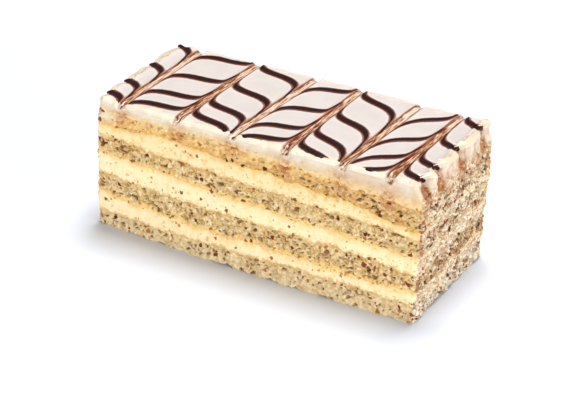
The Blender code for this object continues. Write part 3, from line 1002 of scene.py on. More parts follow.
@dataclass(frozen=True)
class FondantFinish:
    """Poured sugar fondant, set to a gloss, combed while wet and dragged by the knife at its edge.

    It is white with a pink-grey cast where it is thick. The dragged edge is thin, so the sponge
    warms it. In the combed tracks the white is streaked with chocolate.
    """

    body: str = "DED5CF"
    cloud: str = "D6CAC5"
    halo: str = "ECE2DC"
    fringe: str = "84482C"
    rim: str = "F0DFC9"
    fleck: str = "E2AC6C"
    end: str = "E4D3B8"
    outline: str = "C89A5C"
    skirt: tuple[tuple[float, str], ...] = (
        (0.0, "E0D6C8"),
        (0.2, "E3D6C1"),
        (0.3, "DFCCB1"),
        (0.42, "DBC49E"),
        (0.55, "D9BD8E"),
        (0.68, "D9B980"),
        (0.82, "D7B272"),
        (1.0, "D3A963"),
    )
    skirt_depth: float = 8.0
    veil: str = "CFA27A"
    glazed: str = "F0CE92"
    drape: tuple[tuple[float, str], ...] = (
        (0.38, "EFE0CB"),
        (0.5, "E6CFB4"),
        (0.58, "D4AA84"),
        (0.68, "B47E54"),
    )
    tracks: tuple[tuple[float, str], ...] = (
        (0.0, "F2DAC6"),
        (0.28, "E2C2A4"),
        (0.46, "CE9A74"),
        (0.62, "AC6D45"),
        (0.8, "84482B"),
        (1.0, "562614"),
    )
    streak_scale: float = 2.2
    streak_pull: float = 0.09
    mark: str = "6C3318"
    glow: str = "B5784E"
    stain: str = "B57B4A"
    grain: str = "CF9A56"
    end_stain: str = "A4704C"

    def build(self) -> bpy.types.Material:
        """Builds the material.

        Returns:
            The fondant's material, which reads the values skirt, depth, rim, brink, end, line,
            side, across, along, cocoa, stain and smear.
        """
        f = Finish("sugar_fondant")
        names = ("skirt", "rim", "end", "line")
        skirt, rim, end, line = (f.add(Node.VALUE, attribute_name=name) for name in names)
        clouds = f.blots(7.0, (0.4, 0.62), (0.0, 0.35))
        colour = f.add(Node.MIX, clouds, self.body, self.cloud)
        colour = f.lay(colour, self.halo, f.add(Node.RANGE, line, 0.0, 2.0, 0.6, 0.0))
        colour = f.lay(colour, self.rim, rim)
        flecks = f.blots(1.0, (0.6, 0.68), (0.0, 0.6), detail=4.0, rough=0.6)
        colour = f.lay(colour, self.fleck, rim, flecks)
        colour = f.lay(colour, self.end, end)
        inner = f.add(Node.RANGE, end, 0.15, 0.4)
        outer = f.add(Node.RANGE, end, 0.5, 0.8, 1.0, 0.0)
        uneven = f.blots(1.2, (0.4, 0.6), (0.1, 0.8), detail=3.0)
        colour = f.lay(colour, self.outline, inner, outer, uneven)
        wavy = f.ragged(0.9, 2.0, 0.35, line)
        colour = f.lay(colour, self.fringe, f.add(Node.RANGE, wavy, 0.14, 0.6, 0.95, 0.0))
        colour = self.track_streaks(f, colour)
        colour = self.edge(f, colour)
        roughness = f.add(Node.RANGE, skirt, 0.0, 0.6, 0.2, 0.5)
        return f.finish(
            colour, f.add(Node.NOISE, per_mm(2.5)), 0.04, Roughness=roughness, Subsurface_Weight=0.2,
            Subsurface_Radius=(1.0, 0.8, 0.6), Subsurface_Scale=0.8 * MM, IOR=1.48,
        )

    def track_streaks(self, f: Finish, colour: Any) -> Any:
        """Streaks the combed tracks along their length, darkest along both sides.

        Args:
            f: The material under construction.
            colour: Socket of the colour outside the tracks.

        Returns:
            Socket of the colour with the tracks.
        """
        names = ("side", "across", "along", "cocoa", "brink")
        side, across, along, cocoa, brink = (f.add(Node.VALUE, attribute_name=name) for name in names)
        drawn = f.add(Node.VECTOR, across, f.add(Node.MULTIPLY, along, self.streak_pull))
        streak = f.add(Node.SUBTRACT, f.add(Node.NOISE, self.streak_scale, 5.0, 0.6, drawn), 0.5)
        rich = f.add(Node.MULTIPLY_ADD, streak, 3.8, f.add(Node.MULTIPLY, cocoa, 0.57))
        tint = f.add(Node.RAMP, rich, stops=self.tracks)
        edge = f.add(Node.RANGE, f.add(Node.MULTIPLY_ADD, streak, 1.8, side), 0.62, 1.0, 0.0, 0.9)
        tint = f.lay(tint, self.mark, edge)
        shown = f.add(Node.RANGE, brink, 0.0, 1.0, 1.0, 0.3)
        glow = f.add(Node.RANGE, f.add(Node.MULTIPLY_ADD, streak, 0.8, side), 1.3, 1.8, 0.9, 0.0)
        colour = f.lay(colour, self.glow, glow, shown)
        inside = f.add(Node.RANGE, f.add(Node.MULTIPLY_ADD, streak, 0.6, side), 1.15, 1.4, 1.0, 0.0)
        return f.lay(colour, tint, inside, shown)

    def edge(self, f: Finish, colour: Any) -> Any:
        """Warms the dragged edge with its depth, hangs pale folds on the ends and stains it below the
        tracks and the line ends.

        Args:
            f: The material under construction.
            colour: Socket of the colour on the top.

        Returns:
            Socket of the colour with the edge.
        """
        names = ("skirt", "smear", "stain", "depth")
        skirt, smear, stain, depth = (f.add(Node.VALUE, attribute_name=name) for name in names)
        depth = f.add(Node.MULTIPLY, f.ragged(3.0, 4.0, 5.0, depth), 1.0 / self.skirt_depth)
        side = f.add(Node.RAMP, depth, stops=self.skirt)
        hung = f.add(Node.STRETCH, (1.0, 1.0, 0.3))
        drip = f.add(Node.NOISE, per_mm(2.4), 4.0, 0.6, hung)
        folds = f.add(Node.RAMP, drip, stops=self.drape)
        side = f.lay(side, folds, smear, f.add(Node.RANGE, depth, 0.4, 0.9, 0.9, 0.5))
        torn = f.add(Node.MULTIPLY, smear, f.add(Node.RANGE, skirt, 0.4, 0.85))
        side = CrumbMosaic(size=1.0, crevice_shade="8A5630", depth=0.9, stretch=1.8).lay(f, side, torn)
        veil = f.add(Node.RANGE, skirt, 0.1, 0.45, 0.0, 0.55)
        veil = f.add(Node.MULTIPLY, f.add(Node.POWER, stain, 0.4), veil)
        right = f.span(Axis.X, 29.0, 33.0)
        rubbed = f.add(Node.MULTIPLY, right, f.add(Node.RANGE, depth, 0.5, 0.9))
        rubbed = f.add(Node.MAXIMUM, f.add(Node.MULTIPLY, right, f.span(Axis.X, 42.0, 37.0)), rubbed)
        veil = f.add(Node.MAXIMUM, veil, f.add(Node.MULTIPLY, rubbed, 0.4))
        side = f.lay(side, self.veil, veil, f.add(Node.RANGE, smear, 0.0, 1.0, 1.0, 0.0))
        thin = f.add(Node.RANGE, f.ragged(1.5, 4.0, 0.7, skirt), 0.5, 0.95, 0.0, 0.8)
        side = f.lay(side, self.glazed, thin, f.add(Node.RANGE, smear, 0.0, 1.0, 1.0, 0.3))
        grains = f.blots(0.9, (0.52, 0.7), detail=4.0)
        side = f.lay(side, self.grain, grains, f.add(Node.RANGE, skirt, 0.5, 0.95, 0.0, 0.6))
        patchy = f.blots(1.3, (0.42, 0.62), detail=4.0)
        side = f.lay(side, self.stain, stain, f.add(Node.RANGE, skirt, 0.35, 0.8, 0.35, 1.0), patchy)
        runs = f.add(Node.RANGE, f.add(Node.MULTIPLY_ADD, drip, 0.8, stain), 0.5, 1.05)
        side = f.lay(side, self.end_stain, runs, smear, f.add(Node.RANGE, patchy, 0.0, 1.0, 0.6, 1.0))
        colour = f.lay(colour, side, f.add(Node.RANGE, skirt, 0.05, 0.14))
        upper = f.add(Node.RANGE, skirt, 0.0, 0.04)
        lower = f.add(Node.RANGE, skirt, 0.06, 0.16, 1.0, 0.0)
        marked = f.add(Node.RANGE, stain, 0.7, 0.95)
        return f.lay(colour, self.mark, upper, lower, marked, f.add(Node.RANGE, patchy, 0.2, 0.8))


@dataclass(frozen=True)
class ChocolateFinish:
    """Melted dark chocolate, piped on wet fondant.

    It sets nearly black with a soft gloss, and is browner where it thins.
    """

    body: str = "2B1315"
    rim: str = "7A3C22"

    def build(self) -> bpy.types.Material:
        """Builds the material.

        Returns:
            The chocolate's material, which reads the value rim.
        """
        f = Finish("dark_chocolate")
        edge = f.ragged(0.6, 2.0, 0.2, f.add(Node.VALUE, attribute_name="rim"))
        colour = f.add(Node.MIX, f.add(Node.RANGE, edge, 0.7, 1.0), self.body, self.rim)
        bump = f.add(Node.NOISE, per_mm(1.2))
        return f.finish(colour, bump, 0.03, Roughness=0.35, IOR=1.45, Specular_IOR_Level=0.15)


@dataclass(frozen=True)
class NutBitFinish:
    """Chopped nut: kernel, skin, roasted bit or husk, matte with an oily glint."""

    name: str
    body: str
    shade: str

    def build(self) -> bpy.types.Material:
        """Builds the material.

        Returns:
            The bits' material, which varies between its two colours from bit to bit.
        """
        f = Finish(self.name)
        varied = f.blots(1.4, (0.35, 0.65))
        colour = f.add(Node.MIX, varied, self.body, self.shade)
        return f.finish(colour, f.add(Node.NOISE, per_mm(0.25)), 0.06, Roughness=0.7, IOR=1.47)


# --- Layers ---


@dataclass(frozen=True)
class CutRelief:
    """The relief that a knife leaves on a cut layer, rougher on the ends by end_gain."""

    grain: Grain
    lump_size: float
    lump_depth: float
    crumb_size: float
    crumb_depth: float
    hollow_size: float
    hollow_depth: float
    hollow_level: float
    pore_size: float
    pore_share: float
    crease_shade: float
    end_gain: float

    def work(self, points: Array, ends: Array) -> dict[str, Array]:
        """Works out relief on a wall.

        The places are first bent by slow noise. The relief is layered noise at the size of lumps,
        rounded crumbs round the seeds of a coarse and a fine set of cells, flat hollows where another
        layered noise is above a level, and pores round the seeds of some cells of a third set.

        Args:
            points: Points of the plain wall.
            ends: Share of each point that belongs to an end face.

        Returns:
            The outward relief in millimetres, the crumb's own draw, and the depth's shade.
        """
        grain = self.grain
        bends = [grain.smooth(points, 1.3 * self.crumb_size, 60 + axis) for axis in Axis]
        bend = np.stack(bends, axis=-1)
        bent = points + 0.45 * self.crumb_size * bend
        gap, draw = grain.cells(bent, self.crumb_size, 20)
        fine_gap, fine_draw = grain.cells(bent, 0.45 * self.crumb_size, 30)
        flat = bent * np.array([1.0, 1.0, 1.6])
        level = grain.layered(flat, self.hollow_size, 2, 40)
        shaded_hollow = smoothstep(self.hollow_level, self.hollow_level + 0.3, level)
        pore_gap, pore_draw = grain.cells(flat, self.pore_size, 50)
        crowded = pore_draw + 0.2 * grain.smooth(flat, 5.0, 55) > 1.0 - self.pore_share
        shaded_hollow = np.maximum(shaded_hollow, crowded * smoothstep(0.45, 0.2, pore_gap))
        relief = self.lump_depth * grain.layered(points, self.lump_size, 3)
        relief += self.crumb_depth * ((0.5 - gap) + 0.4 * (0.5 - fine_gap)) - self.hollow_depth * shaded_hollow
        # The shade handed back is the share of painted shade that the finishes lay in creases and
        # hollows.
        crease = smoothstep(0.5, 0.85, gap)
        return {
            "relief": relief * (1.0 + self.end_gain * ends),
            "crumb": 0.5 * (draw + fine_draw),
            "shade": np.clip(self.crease_shade * crease + shaded_hollow, 0.0, 1.0),
        }


SPONGE_RELIEF = CutRelief(
    grain=Grain(5), lump_size=3.6, lump_depth=0.4, crumb_size=1.1, crumb_depth=0.4, hollow_size=1.5,
    hollow_depth=0.55, hollow_level=0.3, pore_size=1.3, pore_share=0.13, crease_shade=0.22,
    end_gain=1.0,
)
CREAM_RELIEF = CutRelief(
    grain=Grain(8), lump_size=5.0, lump_depth=0.16, crumb_size=1.4, crumb_depth=0.03, hollow_size=1.6,
    hollow_depth=0.16, hollow_level=0.6, pore_size=2.2, pore_share=0.03, crease_shade=0.0,
    end_gain=0.0,
)


@dataclass(frozen=True)
class SeamLine:
    """A seam between two layers, or the base, as a ragged height round the outline."""

    form: SliceForm
    level: int
    coarse: float = 0.9
    fine: float = 0.55
    noise_step: float = 31.0

    def height(self, outline: Outline) -> Array:
        """Adds layered noise round the outline to the smooth seam.

        Args:
            outline: The outline to follow.

        Returns:
            Height of the seam at each point of a ring.
        """
        ring, _ = outline.rings(np.full((1, outline.count), self.form.height))
        spot = ring[0] + np.array([0.0, 0.0, self.noise_step * self.level])
        grain = Grain(3)
        ragged = self.coarse * grain.layered(spot, 4.5, 2) + self.fine * grain.layered(spot, 1.2, 2, 7)
        if self.level < 0:
            return np.maximum(0.0, 1.2 * ragged)
        return self.form.seam(self.level, ring[0, :, 0]) + ragged


@dataclass(frozen=True)
class Layer:
    """A sponge or a cream: a wall between two seams, closed by a cap below and a cap above."""

    node: str
    slot: str
    form: SliceForm
    step: float
    relief: CutRelief
    floor: SeamLine
    ceiling: SeamLine
    rows: int
    shoulder: float
    toast: float = 0.0

    def outline(self) -> Outline:
        """Steps the outline at this layer's own fineness.

        Returns:
            The outline, with even counts of points on its sides.
        """
        columns = 2 * round(self.form.length / self.step / 2)
        rows = 2 * round(self.form.width / self.step / 2)
        return Outline(self.form, columns, rows)

    def upper_edge(self, outline: Outline) -> Array:
        """Height at which the wall ends."""
        return self.ceiling.height(outline)

    def wall(self) -> tuple[Array, dict[str, Array]]:
        """Works out the roughened wall, row by row from the floor to its upper edge.

        Returns:
            The rings of points, and the values of each point that the finish reads.
        """
        outline = self.outline()
        low, high = self.floor.height(outline), self.upper_edge(outline)
        heights = low + (high - low) * np.linspace(0.0, 1.0, self.rows)[:, None]
        points, out = outline.rings(heights)
        ends = smoothstep(0.4, 0.95, np.abs(out[..., 0]))
        worked = self.relief.work(points, ends)
        if self.relief is not SPONGE_RELIEF:
            rough = SPONGE_RELIEF.work(points, ends)
            worked = {label: value + (rough[label] - value) * ends for label, value in worked.items()}
        under = heights - low if self.floor.level >= 0 else np.full_like(heights, FAR)
        over = high - heights
        loose = np.maximum(smoothstep(0.0, 0.8, np.minimum(over, under)), ends)
        push = worked["relief"] * loose - self.shoulder * (1.0 - loose)
        values = {
            "crumb": worked["crumb"],
            "shade": worked["shade"],
            "under": under,
            "over": over,
            "glaze": np.zeros_like(heights),
            "stain": np.zeros_like(heights),
            "toast": np.full_like(heights, self.toast),
            "smear": ends,
        }
        return keep_inside(points + out * push[..., None]), values

    def skin(self) -> Skin:
        """The closed surface of the layer with the values its finish reads."""
        return close_wall(*self.wall())

    def build(self, material: bpy.types.Material) -> Skin:
        """Makes the piece that stands for its node.

        Args:
            material: The layer's finish.

        Returns:
            The surface, for bits to be strewn on.
        """
        skin = self.skin()
        settle(skin.make(self.node + "_cut", material), self.slot, self.node)
        return skin


@dataclass(frozen=True)
class TopSponge(Layer):
    """The top sponge, whose wall ends under the dragged edge of the fondant and then slopes in."""

    skirt: "Skirt | None" = None
    overlap: float = 0.3
    glaze_depth: float = 8.5
    corner_glaze: float = 1.5
    glaze_fade: float = 5.0
    stain_reach: float = 5.0

    def upper_edge(self, outline: Outline) -> Array:
        """Height at which the wall ends, a little above the edge of the fondant."""
        return self.skirt.edge(outline) + self.overlap

    def skin(self) -> Skin:
        """Adds two inset rings above the wall, which carry the sponge in under the fondant.

        Returns:
            The top sponge's surface with the values its finish reads.
        """
        points, values = self.wall()
        outline = self.outline()
        high = self.upper_edge(outline)
        points[-1] = outline.rings(high[None, :], inset=0.35)[0][0]
        shelf = self.form.top(points[-1, :, 0]) - self.form.fondant_thickness - 0.2
        slope, _ = outline.rings(np.stack([high + 0.3, shelf]), inset=np.array([[0.9], [2.1]]))
        depth = self.form.top(points[..., 0]) - points[..., 2]
        reach = self.glaze_depth + self.corner_glaze * smoothstep(-41.0, -49.0, points[..., 0])
        values["glaze"] = np.clip((reach - depth) / self.glaze_fade, 0.0, 1.0)
        values["stain"] = self.form.stain(points) * smoothstep(self.stain_reach, 0.5, values["over"])
        values["over"] = np.full_like(values["over"], FAR)
        values["shade"] *= 1.0 - 0.8 * np.minimum(1.0, 2.0 * values["glaze"])
        for label, value in values.items():
            values[label] = np.concatenate([value, value[-1:], value[-1:]])
        return close_wall(np.concatenate([points, slope]), values)


def keep_inside(points: Array, margin: float = 0.05) -> Array:
    """Holds points inside the solids' box, a margin in from its faces."""
    low, high = (np.array(corner) / MM - CENTRE_SHIFT for corner in CAD_BOX)
    return np.clip(points, low + np.array([margin, margin, 0.0]), high - margin)


# How far the ring before each cap is drawn in, as shares of the wall's x, y and z.
CAP_SHRINK = np.array([0.97, 0.93, 1.0])


def close_wall(points: Array, values: dict[str, Array]) -> Skin:
    """Joins rings of points into a wall and caps it below and above, past a ring drawn in at each.

    Args:
        points: Rings of points from the base up.
        values: Named values at those points.

    Returns:
        The closed surface.
    """
    points = np.concatenate([points[:1] * CAP_SHRINK, points, points[-1:] * CAP_SHRINK])
    values = {label: np.concatenate([value[:1], value, value[-1:]]) for label, value in values.items()}
    rings, count = points.shape[:2]
    under = strip_cap(0, count, upward=False)
    over = strip_cap((rings - 1) * count, count, upward=True)
    quads = np.concatenate([tube_quads(rings, count), under[0], over[0]])
    triangles = np.concatenate([under[1], over[1]])
    return Skin(points.reshape(-1, 3), quads, triangles, values)


def settle(piece: bpy.types.Object, slot: str, *nodes: str) -> bpy.types.Object:
    """Rides a piece on the body and lets it stand for its nodes.

    Args:
        piece: The finished piece.
        slot: The record's material slot; not used.
        nodes: The nodes that it replaces.

    Returns:
        The piece.
    """
    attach(piece, BODY)
    if nodes:
        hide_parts(*nodes)
    LOG.info("%s: %d faces", piece.name, len(piece.data.polygons))
    return piece


# --- Fondant and chocolate ---


@dataclass(frozen=True)
class Skirt:
    """The dragged rim of the fondant on the cut faces."""

    form: SliceForm
    grain: Grain = Grain(21)
    slow_wave: float = 0.7
    quick_wave: float = 0.5
    left_share: float = 0.4
    gap_rise: float = 3.0

    def edge(self, outline: Outline) -> Array:
        """Height of the skirt's lower edge.

        It is the hang below the top, with a slow and a quick wave. On the ends it rises at the lines,
        so that curtains hang between them.

        Args:
            outline: The outline to follow.

        Returns:
            Height of the edge at each point of a ring.
        """
        ring, _ = outline.rings(np.full((1, outline.count), self.form.height))
        x, y = ring[0, :, 0], ring[0, :, 1]
        at_end = smoothstep(1.5, 0.5, self.form.length / 2 - np.abs(x))
        at_end = at_end * np.where(x > 0, 1.0, self.left_share)
        wave = self.slow_wave * self.grain.layered(ring[0], 6.0, 2)
        wave += self.quick_wave * self.grain.layered(ring[0], 1.6, 2, 5) * (1.0 + at_end)
        gaps = smoothstep(2.8, 0.6, self.form.line_end_gap(x, y)) * at_end
        return self.form.top(x) - self.form.hang(x) + wave + self.gap_rise * gaps


@dataclass(frozen=True)
class FondantTop:
    """The fondant: a gridded top with tracks and lobes, a rounded lip, and the dragged skirt."""

    form: SliceForm
    skirt: Skirt
    columns: int = 376
    rows: int = 160
    lip_radius: float = 1.0
    lip_rings: int = 6
    skirt_rings: int = 26
    track_depth: float = 0.35
    ridge: float = 0.12
    lobe_height: float = 0.9
    lobe_place: float = 1.9
    lobe_reach: float = 1.2
    left_lobe_share: float = 0.4
    dip_depth: float = 0.5
    dent_depth: float = 2.9
    dent_half_width: float = 2.7
    left_dent_share: float = 0.25
    notch_depth: float = 1.1
    exit_depth: float = 0.6
    notch_half_width: float = 1.3
    streak_step: float = 60.0
    grain: Grain = Grain(13)

    def lobe(self, x: Array, y: Array) -> Array:
        """Height pulled up at the ends: a hump near the rim, pressed down where a line runs out.

        Args:
            x, y: Places on the top.

        Returns:
            Heights to add, lower at the left end by left_lobe_share.
        """
        from_end = self.form.length / 2 - np.abs(x)
        hump = np.exp(-(((from_end - self.lobe_place) / self.lobe_reach) ** 2))
        hump = hump * np.where(x > 0, 1.0, self.left_lobe_share)
        between = smoothstep(0.9, 3.4, self.form.line_end_gap(x, y))
        uneven = 1.0 + 0.6 * self.grain.smooth(np.stack([x, y, 0.0 * x], axis=-1), 3.2, 42)
        return hump * (self.lobe_height * between * uneven - self.dip_depth * (1.0 - between))

    def dent(self, points: Array, share: float = 1.0) -> Array:
        """Draws the ends in where a line runs over them, most at the lip and least at the sponge.

        Args:
            points: Points of the whole surface.
            share: Share of dent_depth to move them by.

        Returns:
            The points, moved along x.
        """
        x, y, z = (points[..., axis] for axis in range(3))
        from_end = self.form.length / 2 - np.abs(x)
        near_end = smoothstep(6.0, 1.0, from_end) * smoothstep(36.0, 40.0, z)
        near_end = near_end * np.where(x > 0, 1.0, self.left_dent_share)
        depth = np.exp(-((self.form.line_end_gap(x, y) / self.dent_half_width) ** 2)) * self.dent_depth
        depth = share * near_end * (depth + 0.5 * np.abs(self.grain.smooth(points, 3.0, 41)))
        return points - np.stack([np.sign(x) * depth, np.zeros_like(x), np.zeros_like(x)], axis=-1)

    def notch(self, x: Array, y: Array) -> Array:
        """Depth of the dips at the front and back rims, deeper where the comb went in than out.

        Args:
            x, y: Places on the top.

        Returns:
            Depths.
        """
        stroke, across = self.form.nearest_stroke(x, y)
        ways = np.array([stroke.way for stroke in self.form.strokes])[stroke]
        depth = np.where(ways * y < 0, self.notch_depth, self.exit_depth)
        depth = depth * np.exp(-((across / self.notch_half_width) ** 2))
        return depth * smoothstep(3.2, 0.4, self.form.rim_gap(x, y))

    def surface(self, x: Array, y: Array) -> Array:
        """Height of the top at x and y.

        It is the tilted plane, plus slow noise, quicker noise near the rim, the lobes, a flat-bottomed
        groove along each stroke, exp(-(u/w)^4) of the distance u, a low ridge on both of its sides,
        less the notches.

        Args:
            x, y: Places on the top.

        Returns:
            Heights.
        """
        spot = np.stack([x, y, np.zeros_like(x)], axis=-1)
        height = self.form.top(x) - 0.12 + 0.14 * self.grain.layered(spot, 12.0, 2) + self.lobe(x, y)
        near_rim = smoothstep(3.0, 1.0, self.form.rim_gap(x, y))
        height += 0.3 * self.grain.layered(spot, 2.6, 2, 40) * near_rim
        side = np.abs(self.form.nearest_stroke(x, y)[1])
        width = self.form.track_half_width
        height -= self.track_depth * np.exp(-((side / width) ** 4))
        height += self.ridge * np.exp(-(((side - 1.6 * width) / 0.5) ** 2))
        return height - self.notch(x, y)

    def line_gap(self, x: Array, y: Array) -> Array:
        """Distance from the nearest chocolate line's edge, square to it.

        It is the distance along y less the half width, over the root of one plus the slope squared.

        Args:
            x, y: Places on the top.

        Returns:
            Distances, which are negative under a line.
        """
        straight = self.form.straightened(x, y)
        slope = (self.form.drag(straight + 0.05) - self.form.drag(straight)) / 0.05
        gaps = np.abs(y[..., None] - self.form.lines(straight))
        return (np.min(gaps, axis=-1) - self.form.line_half_width) / np.sqrt(1.0 + slope**2)

    def cocoa(self, x: Array, y: Array) -> Array:
        """Share of chocolate in the nearest track, in straight runs between its three stations.

        Args:
            x, y: Places on the top.

        Returns:
            Shares from 0 to 1.
        """
        stroke, _ = self.form.nearest_stroke(x, y)
        front, middle, back = np.array([stroke.cocoa for stroke in self.form.strokes])[stroke].T
        across = np.clip(2.0 * y / self.form.width, -1.0, 1.0)
        return middle + np.where(across < 0, (middle - front), (back - middle)) * across

    def side_rings(self, outline: Outline, lip_foot: Array, edge: Array) -> tuple[Array, Array]:
        """Works out the skirt from its lower edge to the foot of the lip.

        Its thickness grows from the edge up. It follows the sponge's relief at the edge, and its own
        slow waves and the ends' folds further up.

        Args:
            outline: The outline of the rings.
            lip_foot: Height at which the lip starts.
            edge: Height of the lower edge.

        Returns:
            The rings of points, and the outward push of the last one.
        """
        share = np.linspace(1.0, 0.0, self.skirt_rings)[:, None]
        side, out = outline.rings(lip_foot + (edge - lip_foot) * share)
        ends = smoothstep(0.4, 0.95, np.abs(out[..., 0]))
        crumb = SPONGE_RELIEF.work(side, ends)["relief"]
        folds = self.grain.layered(side * np.array([1.0, 1.0, 0.12]), 2.8, 2, 11)
        smooth = 0.3 * self.grain.layered(side, 3.5, 3) + 0.45 * ends * folds
        thickness = 0.03 + 0.3 * (1.0 - share) ** 0.6
        grip = share**1.3
        push = thickness + grip * crumb + (1.0 - grip) * smooth
        return side + out * push[..., None], out[-1] * push[-1][:, None]

    def skin(self) -> Skin:
        """Works out the whole surface: underside, skirt, lip and top.

        The lip is a quarter turn from upright to level, whose outward push fades with the turn.

        Returns:
            The fondant's surface with the values its finish reads.
        """
        form = self.form
        outline = Outline(form, self.columns, self.rows)
        u, v = outline.walk()
        rim, _ = outline.place(u, v, self.lip_radius, form.top(u * form.length / 2))
        rim_height = self.surface(rim[:, 0], rim[:, 1])
        edge = self.skirt.edge(outline)
        shelf = form.top(rim[:, 0]) - form.fondant_thickness
        under, _ = outline.rings(np.stack([shelf, edge + 0.5]), inset=np.array([[1.9], [0.8]]))
        lip_foot = rim_height - self.lip_radius
        side, push = self.side_rings(outline, lip_foot, edge)
        turns = np.linspace(0.0, 0.5 * math.pi, self.lip_rings + 1)[1:-1]
        insets = self.lip_radius * (1.0 - np.cos(turns))[:, None]
        lip, _ = outline.rings(lip_foot + self.lip_radius * np.sin(turns)[:, None], inset=insets)
        lip = lip + push * np.cos(turns)[:, None, None]
        sides = (np.linspace(-1, 1, self.columns + 1), np.linspace(-1, 1, self.rows + 1))
        grid = np.meshgrid(*sides, indexing="ij")
        top, _ = outline.place(*grid, self.lip_radius, np.full_like(grid[0], form.height))
        top[..., 2] = self.surface(top[..., 0], top[..., 1])
        shares = (
            np.ones(len(under)), np.linspace(1.0, 0.1, len(side)), np.linspace(0.08, 0.03, len(lip))
        )
        share = np.concatenate(shares)
        return self.assemble(outline, np.concatenate([under, side, lip]), top, share)

    def assemble(self, outline: Outline, rings: Array, top: Array, share: Array) -> Skin:
        """Joins the rings to the gridded top, whose border takes the place of the last ring.

        Args:
            outline: The outline of the rings.
            rings: Rings from the underside over the skirt and the lip.
            top: The gridded top.
            share: Share down the skirt of each ring.

        Returns:
            The closed surface with its values.
        """
        count, columns, rows = outline.count, self.columns, self.rows
        first = len(rings) * count
        number = first + np.arange((columns + 1) * (rows + 1)).reshape(columns + 1, rows + 1)
        spots = np.arange(count)
        knots = np.cumsum((0, rows // 2, columns, rows, columns, rows // 2))
        i = np.interp(spots, knots, (0, 0, columns, columns, 0, 0)).astype(int)
        j = np.interp(spots, knots, (rows // 2, 0, 0, rows, rows, rows // 2)).astype(int)
        border = number[i, j]
        last = first - count + spots
        joint = np.stack([last, np.roll(last, -1), np.roll(border, -1), border], axis=-1)
        cells = np.stack([number[:-1, :-1], number[1:, :-1], number[1:, 1:], number[:-1, 1:]], axis=-1)
        under = strip_cap(0, count, upward=False)
        quads = np.concatenate([tube_quads(len(rings), count), joint, cells.reshape(-1, 4), under[0]])
        points = np.concatenate([rings.reshape(-1, 3), top.reshape(-1, 3)])
        skirt = np.concatenate([np.repeat(share, count), np.zeros(top[..., 0].size)])
        return Skin(keep_inside(self.dent(points)), quads, under[1], self.point_values(points, skirt))

    def point_values(self, points: Array, skirt: Array) -> dict[str, Array]:
        """Works out the values that the finish reads.

        Args:
            points: Points of the whole surface before its ends are drawn in.
            skirt: Share down the skirt, which is 0 on the top.

        Returns:
            Named values at the points.
        """
        form = self.form
        x, y = points[:, 0], points[:, 1]
        stroke, across = form.nearest_stroke(x, y)
        front = np.where(y < 0, 1.0, 0.55)
        ragged = self.grain.layered(points, 2.4, 2, 33)
        rim = front * smoothstep(3.0, 1.4, form.rim_gap(x, y) + 1.1 * ragged)
        from_end = form.length / 2 - np.abs(x)
        brink = smoothstep(1.7, 0.6, form.rim_gap(x, y) + 0.5 * self.grain.smooth(points, 0.8, 32))
        return {
            "skirt": skirt,
            "rim": rim,
            "brink": brink,
            "end": smoothstep(2.8, 0.8, from_end + 0.6 * self.grain.smooth(points, 2.0, 31)),
            "depth": (form.top(x) - points[:, 2]) * np.sqrt(5.0 / form.hang(x)),
            "line": np.where(skirt > 0, FAR, self.line_gap(x, y)),
            "side": np.abs(across),
            "across": across,
            "along": y + self.streak_step * stroke,
            "cocoa": self.cocoa(x, y),
            "stain": form.stain(points),
            "smear": smoothstep(1.2, 0.2, from_end),
        }

    def build(self, material: bpy.types.Material) -> bpy.types.Object:
        """Makes the fondant piece with that finish."""
        return settle(self.skin().make("fondant_poured", material), "fondant", "fondant_icing")


def ball(rings: int, count: int) -> Skin:
    """A round form of radius 1 with closed poles: rings of points between two single points.

    Args:
        rings: How many rings lie between the poles.
        count: How many points each ring has.

    Returns:
        The closed surface.
    """
    rise = (np.arange(1, rings + 1) / (rings + 1) - 0.5)[:, None] * math.pi
    turn = np.arange(count)[None, :] * 2.0 * math.pi / count
    width = np.cos(rise)
    round_points = np.stack(
        [width * np.cos(turn), width * np.sin(turn), np.sin(rise) + 0 * turn], axis=-1
    )
    points = np.concatenate([round_points.reshape(-1, 3), [[0.0, 0.0, -1.0], [0.0, 0.0, 1.0]]])
    spots = np.arange(count)
    after = (spots + 1) % count
    low, high = rings * count, rings * count + 1
    last = (rings - 1) * count
    lower = np.stack([after, spots, np.full(count, low)], axis=-1)
    upper = np.stack([last + spots, last + after, np.full(count, high)], axis=-1)
    return Skin(points, tube_quads(rings, count), np.concatenate([lower, upper]))


